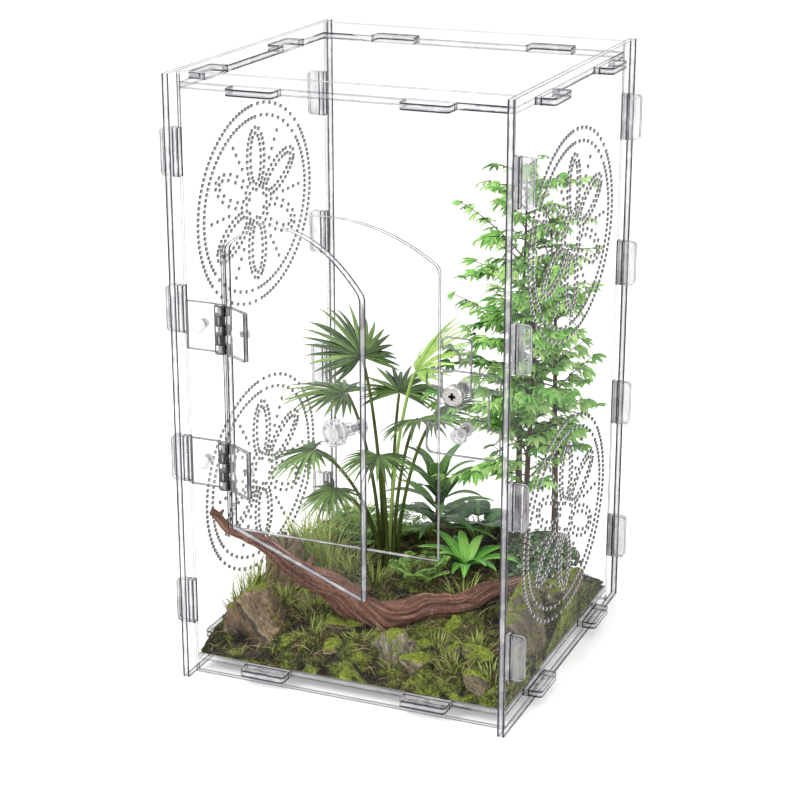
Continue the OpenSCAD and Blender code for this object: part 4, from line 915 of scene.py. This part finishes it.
def shrub():
    """Slender trunks, twigs turned round them, and hands of leaflets along every twig, hanging a
    little."""
    draw = np.random.RandomState(31)
    green = leaf("light shrub leaf", "#3F8A2E", "#78BF46", "#BFE88C", 0.45)
    s, u = np.linspace(0, 1, 40)[:, None], np.linspace(0, 1, 12)[:, None]
    wood, twigs = [], 46
    for k in range(len(SHRUB_AT)):
        path = shrub_point(k, s) + 0.8 * s * np.concatenate([np.sin(9 * s + k), np.cos(8 * s + k), 0 * s], -1)
        wood.append(tube(path, SHRUB_D / 2 * (1 - 0.85 * s[:, 0]), 10, lobes(0.06, 4, 0.9)))
        hands = []
        for i in range(twigs):
            t = 0.33 + 0.67 * i / (twigs - 1)
            deg = GOLDEN * i + 80 * k + draw.uniform(-12, 12)
            at = shrub_point(k, min(t, 0.99))
            full = SPRAY_LEN * (0.62 + 0.6 * math.sin(math.pi * (0.12 + 0.8 * t))) * draw.uniform(0.6, 1.15)
            reach = min(full, wall_room(at, deg) - 6)
            if reach < 6:
                continue
            line = at + reach * (u * rising(deg, np.radians(draw.uniform(12, 48))) - 0.2 * u ** 2 * UP)
            wood.append(tube(line, 0.5 * (1 - 0.6 * u[:, 0]), 5))
            for c in np.linspace(0.25, 1.0, max(2, int(reach / 6.0))):
                hands.append(hand(draw, line[int(11 * c)], deg, c))
        foot, way, up, size, tone = (np.concatenate(group) for group in zip(*hands))
        leaflets = inside([leaves(foot, way, size, size * 0.33, 0.8, 0.22, nu=5, tone=tone, up=up)])
        piece(f"shrub_leaflets_{k + 1}", leaflets, green, "shrub_leaves", 0.25)
    bark = old_wood("thin shrub bark", ("#1B120B", "#463020", "#6A4F36", "#97795A"))
    piece("shrub_wood", wood, bark, "shrub_trunks")


def ferns():
    """Fronds that arch from a crown, each with two rows of narrow pinnae that shorten to the tip."""
    draw = np.random.RandomState(41)
    fronds, n, rows = 11, 16, 24
    c, u = np.linspace(0.12, 0.98, n), np.linspace(0, 1, rows)[:, None]
    long = 6.8 * np.sin(np.pi * c ** 0.7) ** 0.7 + 1.0
    pinnae, ribs = [], []
    for x, y in FERN_AT:
        for k in range(fronds):
            deg = 360 * k / fronds + x + draw.uniform(-10, 10)
            way = rising(deg, np.radians(draw.uniform(30, 68)))
            size = 36 * draw.uniform(0.7, 1.05)
            line = on_bed(x, y, 0.3) + 2 * heading(deg) + size * (u * way - 0.4 * way[2] * u ** 2.2 * UP)
            ribs.append(tube(line, 0.45 * (1 - 0.7 * u[:, 0]), 5))
            foot = line[(c * (rows - 1)).astype(int)]
            for side in (-1, 1):
                aside = unit(0.35 * way + side * np.cross(UP, heading(deg)))
                pinnae.append(leaves(foot, aside, long, 1.3, 0.5, 0.1, nu=4, tone=draw.uniform(0, 1, n)))
    green = leaf("fern frond", "#2F661A", "#5C9E2E", "#B0DA6C")
    rib = leaf("fern rib", "#3A4A1C", "#5E7030", "#8A9A4A")
    piece("fern_pinnae", pinnae, green, "ferns", 0.22)
    piece("fern_ribs", ribs, rib, "ferns")


def strap_leaves(draw):
    """A rosette of arching strap leaves."""
    n = 16
    deg = 360 * np.arange(n) / n + draw.uniform(-9, 9, n)
    way = rising(deg, np.radians(draw.uniform(22, 60, n)))
    foot = on_bed(*STRAP_AT, 0.3) + 2 * heading(deg)
    blades = leaves(foot, way, draw.uniform(26, 35, n), 6.5, 1.0, 0.3, nu=10, tone=draw.uniform(0, 1, n))
    green = leaf("strap leaf", "#46982A", "#6CC634", "#B4EC78", 0.3)
    piece("strap_leaf_rosette", [blades], green, "strap_leaves", 0.4)


def round_leaves(draw):
    """Round leaves on stalks that spread from one place."""
    n, rows = 9, 6
    deg = 360 * np.arange(n) / n + 30
    way = rising(deg, np.radians(draw.uniform(45, 68, n)))
    foot = on_bed(*ROUND_AT, 0.3) + 2 * heading(deg)
    ends = foot + way * draw.uniform(12, 18, n)[:, None]
    flat = unit(way + heading(deg) * 0.8)
    blades = leaves(ends, flat, 19, 16, 0.7, 0.12, lambda u: rounded(u ** 0.8), 10, 5,
                    draw.uniform(0, 0.7, n))
    stalks = [tube(np.linspace(a, b, rows), np.full(rows, 0.6), 6) for a, b in zip(foot, ends)]
    green = leaf("round leaf", "#1D4A22", "#2F6B34", "#6FA55A", 0.3)
    stem = leaf("leaf stalk", "#3A5A24", "#5E7E3A", "#8AAA5A")
    piece("round_leaf_blades", [blades], green, "round_leaves", 0.4)
    piece("round_leaf_stalks", stalks, stem, "round_leaves")


def ground_cover(draw):
    """A mound of small leaves at the shrubs' feet."""
    n, spread = 900, 0.86
    deg, r = draw.uniform(0, 360, n), np.sqrt(draw.uniform(0, 1, n))
    x = COVER_AT[0] + COVER_SIZE[0] / 2 * spread * r * cos_deg(deg)
    y = COVER_AT[1] + COVER_SIZE[1] / 2 * spread * r * sin_deg(deg)
    high = np.sqrt(1 - r ** 2)
    z = ground(x, y) + COVER_SIZE[2] * high * draw.uniform(0.75, 1.0, n) - 0.5
    out = heading(deg) * r[:, None] + UP * (0.25 + high)[:, None]
    way = heading(draw.uniform(0, 360, n)) + 0.5 * out
    blades = leaves(np.stack([x, y, z], -1), way, draw.uniform(3.4, 5.0, n), 3.4, 0.8, 0.2, rounded, 4,
                    tone=draw.uniform(0, 1, n) ** 2, up=out)
    green = leaf("small round leaf", "#0E2412", "#2C5526", "#9DBE86", 0.6)
    piece("ground_cover_leaves", [blades], green, "ground_cover", 0.25)


def tuft(draw, at, count, sizes, wide):
    """Thin curved blades that stand in the moss round one place."""
    deg = draw.uniform(0, 360, count)
    way = rising(deg, np.radians(draw.uniform(48, 88, count)))
    foot = np.array([*at, 0]) + heading(deg) * draw.uniform(0.5, 10, count)[:, None]
    foot = np.clip(foot, [3 - IN_X, 3 - IN_Y, 0], [IN_X - 3, IN_Y - 3, 0])
    foot[:, 2] = moss_top(foot[:, 0], foot[:, 1])[0] - 1.0
    return leaves(foot, way, draw.uniform(*sizes, count), wide, draw.uniform(0.2, 1.2, count), 0.3,
                  lambda u: 1 - u ** 1.5, 7, tone=draw.uniform(0, 1, count))


def grass(draw):
    """Tufts of grass at the planted places, and fine wisps between the stones."""
    planted = [tuft(draw, at, 90, (15, 38), 1.1) for at in GRASS_AT]
    green = leaf("fine grass", "#6C7F28", "#A3B84A", "#D6E387")
    piece("grass_blades", inside(planted), green, "grass", 0.2)
    wild = [tuft(draw, (x, y), 50, sizes, 0.7) for x, y, *sizes in WISPS]
    wispy = leaf("wild grass", "#56641F", "#95A83C", "#D2DE80")
    piece("wild_grass", inside(wild), wispy, thick=0.18)


def dead_stalks(draw):
    """Dead stalks and roots that lie in shallow arcs over the moss."""
    n, gap = 3200, 4
    x, y = draw.uniform(gap - IN_X, IN_X - gap, n), draw.uniform(gap - IN_Y, IN_Y - gap, n)
    foot = np.stack([x, y, moss_top(x, y)[0] - 0.5], -1)
    rise = np.radians(draw.uniform(5, 50, n))
    way = rising(draw.uniform(0, 360, n), rise)
    arcs = strands(foot, way, draw.uniform(5, 15, n), draw.uniform(0.35, 0.8, n), draw.uniform(0.6, 1.9, n),
                   draw.uniform(0, 1, n))
    brown = leaf("dead stalks and roots", "#1E150C", "#6E5535", "#D0BE8C", 0.7)
    face_out(piece("dead_stalks", inside([arcs]), brown))


# ---------- vents

SIDE_SEEN = np.array([[0.38, 0.3], [0, 0.95]])    # how the photograph shows a side's depth and height
WIDE_STEP = 4.0    # mm between two holes, as the photograph shows it


def hole_places():
    """Centres of a medallion's holes: two oval rings, petals outlined by two loops, one inside the
    other, and a dart between each pair of petals. A loop has the solids' holes, and one more
    between two of them where they look far apart from the photograph's side."""
    def ring(a, b):
        length = np.pi * (3 * (a + b) - np.sqrt((3 * a + b) * (a + 3 * b)))
        n = 2 * max(6, int(length / VENT_PITCH + 0.5))
        t = TAU * np.arange(n) / n
        return np.stack([a * np.cos(t), b * np.sin(t)], -1)

    def thinned(loop):
        step = (np.roll(loop[::2], -1, 0) - loop[::2]) @ SIDE_SEEN
        return np.concatenate([loop[::2], loop[1::2][np.hypot(*step.T) > WIDE_STEP]])

    ia, ib = VENT_A - VENT_RING_GAP, VENT_B - VENT_RING_GAP
    long, wide, out, row_gap = ia * 0.36, ia * 0.17, [ia * 0.52, 0], 4.6
    petal, lining = ring(long, wide) + out, ring(long - row_gap, wide - row_gap) + out
    dart = np.stack([ia * 0.86 - VENT_PITCH * np.arange(4), np.zeros(4)], -1)
    places = [thinned(ring(VENT_A, VENT_B)), thinned(ring(ia, ib))]
    for k in range(VENT_PETALS):
        for shape, turn in ((petal, k + 0.5), (lining, k + 0.5), (dart, k)):
            c, s = np.cos(TAU * turn / VENT_PETALS), np.sin(TAU * turn / VENT_PETALS)
            placed = shape @ np.array([[c, s], [-s, c]]) * [1, ib / ia]
            places.append(placed if shape is dart else thinned(placed))
    return np.concatenate(places)


def vent_rims(name, x_mid, mat):
    """The frosted wall of every vent hole: a short tube, as deep as the sheet's refraction makes it
    look, round the middle of the sheet. Its tone attribute paints light on the side towards
    lit_from and a crescent of shade on the other."""
    half, bore, outer, sides, lit_from = 0.5, 0.66, 1.22, 12, -45
    k = np.arange(sides)
    a, j = TAU * k / sides, np.roll(k, -1)
    centre = np.concatenate([hole_places() + [0, z] for z in VENT_ZS])[:, None]
    rings = []
    for r, depth in ((bore, -half), (outer, -half), (outer, half), (bore, half)):
        y, z = centre[..., 0] + r * np.cos(a), centre[..., 1] + r * np.sin(a)
        rings.append(np.stack([np.full_like(y, x_mid + depth), y, z], -1))
    points = np.stack(rings, 1)
    n, row = len(centre), sides * np.arange(4)[:, None]
    after = np.roll(row, -1, 0)
    one = np.stack([row + k, after + k, after + j, row + j], -1).reshape(-1, 4)
    faces = (np.arange(n)[:, None, None] * 4 * sides + one[None]).reshape(-1, 4)
    # painted light and shade: 0 on the side towards lit_from, 1 on the far side
    painted_light_and_shade = np.tile(0.5 - 0.5 * np.cos(a - math.radians(lit_from)), 4 * n)
    face_out(piece(name, [(points, [faces], None, painted_light_and_shade)], mat, smooth=False))


# ---------- finishes on the CAD's own nodes

def dress(mat, *names):
    """Puts one material on CAD nodes that stay as they are."""
    for name in names:
        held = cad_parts[name].data.materials
        held.clear()
        held.append(mat)


ACROSS, AHEAD = (1, 0, 0), (0, 1, 0)
swing = math.radians(-DOOR_REST)
door_way = (-math.sin(swing), math.cos(swing), 0.0)
shut_mid = FRONT_Y + SHEET / 2
door_mid = HINGE[0] * door_way[0] + HINGE[1] * door_way[1] + (shut_mid - HINGE[1])
wall_mid = IN_X + SHEET / 2
side_tabs = ((0, IN_X + SHEET + 0.1),)
all_tabs = (*side_tabs, (1, -FRONT_Y + 0.1))
SHEETS = (    # side, way it faces, its middle along that way, tabs
    ("left", ACROSS, -wall_mid, ()), ("right", ACROSS, wall_mid, ()), ("door", door_way, door_mid, ()),
    ("front", AHEAD, shut_mid, side_tabs), ("back", AHEAD, -shut_mid, side_tabs),
    ("top", UP, ROOF + SHEET / 2, all_tabs), ("base", UP, BED_BASE - SHEET / 2, all_tabs),
)
FITTINGS = (    # name, way it faces, its middle along that way, haze, nodes
    ("latch plate", AHEAD, FRONT_Y + SHEET + FITTING / 2, 0.05, ["latch_plate"]),
    ("latch hook", AHEAD, FRONT_Y - HOOK_GAP - FITTING / 2, 0.05, ["latch_hook"]),
    ("frame leaf", AHEAD, FRONT_Y - FITTING / 2, 0.10, ["upper_hinge_frame_leaf", "lower_hinge_frame_leaf"]),
    ("door leaf", door_way, door_mid - SHEET / 2 - FITTING / 2, 0.10,
     ["upper_hinge_door_leaf", "lower_hinge_door_leaf"]),
)
for side, way, middle, tabs in SHEETS:
    drilled = side in ("left", "right")
    dress(acrylic(f"{side} acrylic sheet", way, middle, holes=drilled, tabs=tabs), f"{side}_panel")
for fitting, way, middle, haze, nodes in FITTINGS:
    dress(acrylic(f"{fitting} acrylic", way, middle, haze, FITTING), *nodes)
dress(turned_acrylic("turned clear acrylic"), "door_knob", "knob_nut", "plate_screw", "plate_nut")
dress(white_rivet("milky nylon rivet"), "frame_leaf_rivets", "door_leaf_rivets")
dress(plated_steel("nickel plated steel"), "hinge_pins", "latch_nut")
dress(plated_steel("nickel plated screw", SCREW_RECESS), "latch_screw")

rim_finish = vent_rim("frosted vent rim")
vent_rims("vent_rims_left", -wall_mid, rim_finish)
vent_rims("vent_rims_right", wall_mid, rim_finish)
moss_bed()
moss_tufts()
boulder("large_rock_stone", "large_rock", BIG_ROCK, "bedded limestone",
        ("#1C120A", "#75583C", "#B49470", "#EBD9BE"), 0.26, 4.2, (0.62, -0.2, 0.75),
        ((-79, -87, 19), (15, 12, 12), 11))
boulder("small_rock_stone", "small_mossy_rock", SMALL_ROCK, "mossy limestone",
        ("#33261C", "#7A5F4A", "#A58C72", "#D2C2A4"), 0.42, 1.6)
boulder("centre_rock_stone", "centre_rock", MID_ROCK, "pale limestone",
        ("#33291F", "#8A7D69", "#B8AC98", "#E2DBCB"), 0.36, 3.0, (0.9, 0.1, 0.2),
        ((14, -86, 27), (6, 6, 6), 8))
boulder("right_rock_stone", "right_rock", RIGHT_ROCK, "moss covered limestone",
        ("#2F271D", "#6E5F4A", "#9A8A70", "#C9BEA4"), 0.50, 3.4, (0.2, 0.8, 0.4))
stones()
stump()
driftwood()
palm()
young_palm_fan()
broadleaf()
shrub()
ferns()
low_draw, grass_draw = np.random.RandomState(51), np.random.RandomState(61)
strap_leaves(low_draw)
round_leaves(low_draw)
ground_cover(low_draw)
grass(grass_draw)
dead_stalks(grass_draw)


# ---------- studio

LAMPS = (    # name, place in m, power, width
    ("key", (-0.9, -1.3, 1.7), 34.0, 1.1),
    ("fill", (1.5, -0.7, 1.1), 10.0, 1.4),
    ("top", (0.1, 0.3, 2.0), 14.0, 1.5),
)


def studio():
    """A wide white floor, three broad soft lamps and a camera at the photograph's angle."""
    half, aim = 9.0, Vector((0, 0, 0.15))
    corners = [(half * x, half * y, 0) for x, y in ((-1, -1), (1, -1), (1, 1), (-1, 1))]
    mesh = bpy.data.meshes.new("floor")
    mesh.from_pydata(corners, [], [(0, 1, 2, 3)])
    mesh.materials.append(studio_floor("white lacquer"))
    floor = linked("floor", mesh)
    for name, place, power, wide in LAMPS:
        data = bpy.data.lights.new(name, "AREA")
        data.energy, data.size = power, wide
        lamp = linked(name, data)
        lamp.location = place
        lamp.rotation_euler = (aim - Vector(place)).to_track_quat("-Z", "Y").to_euler()
    lens = bpy.data.cameras.new("camera")
    lens.lens, lens.sensor_width, lens.clip_start, lens.clip_end = 93.9, 36.0, 0.05, 60.0
    camera = linked("camera", lens)
    az, el = math.radians(22.605), math.radians(18.710)
    back = Vector((math.sin(az) * math.cos(el), -math.cos(az) * math.cos(el), math.sin(el)))
    camera.location = Vector((443.87, -1081.21, 546.86)) * MM
    camera.rotation_euler = (-back).to_track_quat("-Z", "Y").to_euler()
    bpy.context.scene.camera = camera


def backdrop():
    """A world that is white to the eye and in mirrors, and lights the rest by half."""
    world = bpy.data.worlds.new("studio white")
    world.use_nodes = True
    tree = world.node_tree
    tree.nodes.clear()
    eye, gloss, through = (add(tree, "LightPath", out=f"Is {ray} Ray")
                           for ray in ("Camera", "Glossy", "Transmission"))
    seen = eye.math("MAXIMUM", gloss.math("MAXIMUM", through))
    strength = add(tree, "Mix", {0: seen, 2: 0.52, 3: 1.0}, data_type="FLOAT")
    add(tree, "OutputWorld", {0: add(tree, "Background", {0: "#FFFFFF", 1: strength})})
    bpy.context.scene.world = world


studio()
backdrop()
bpy.context.scene.view_settings.view_transform = "Standard"
bpy.context.scene.cycles.transparent_max_bounces = 40
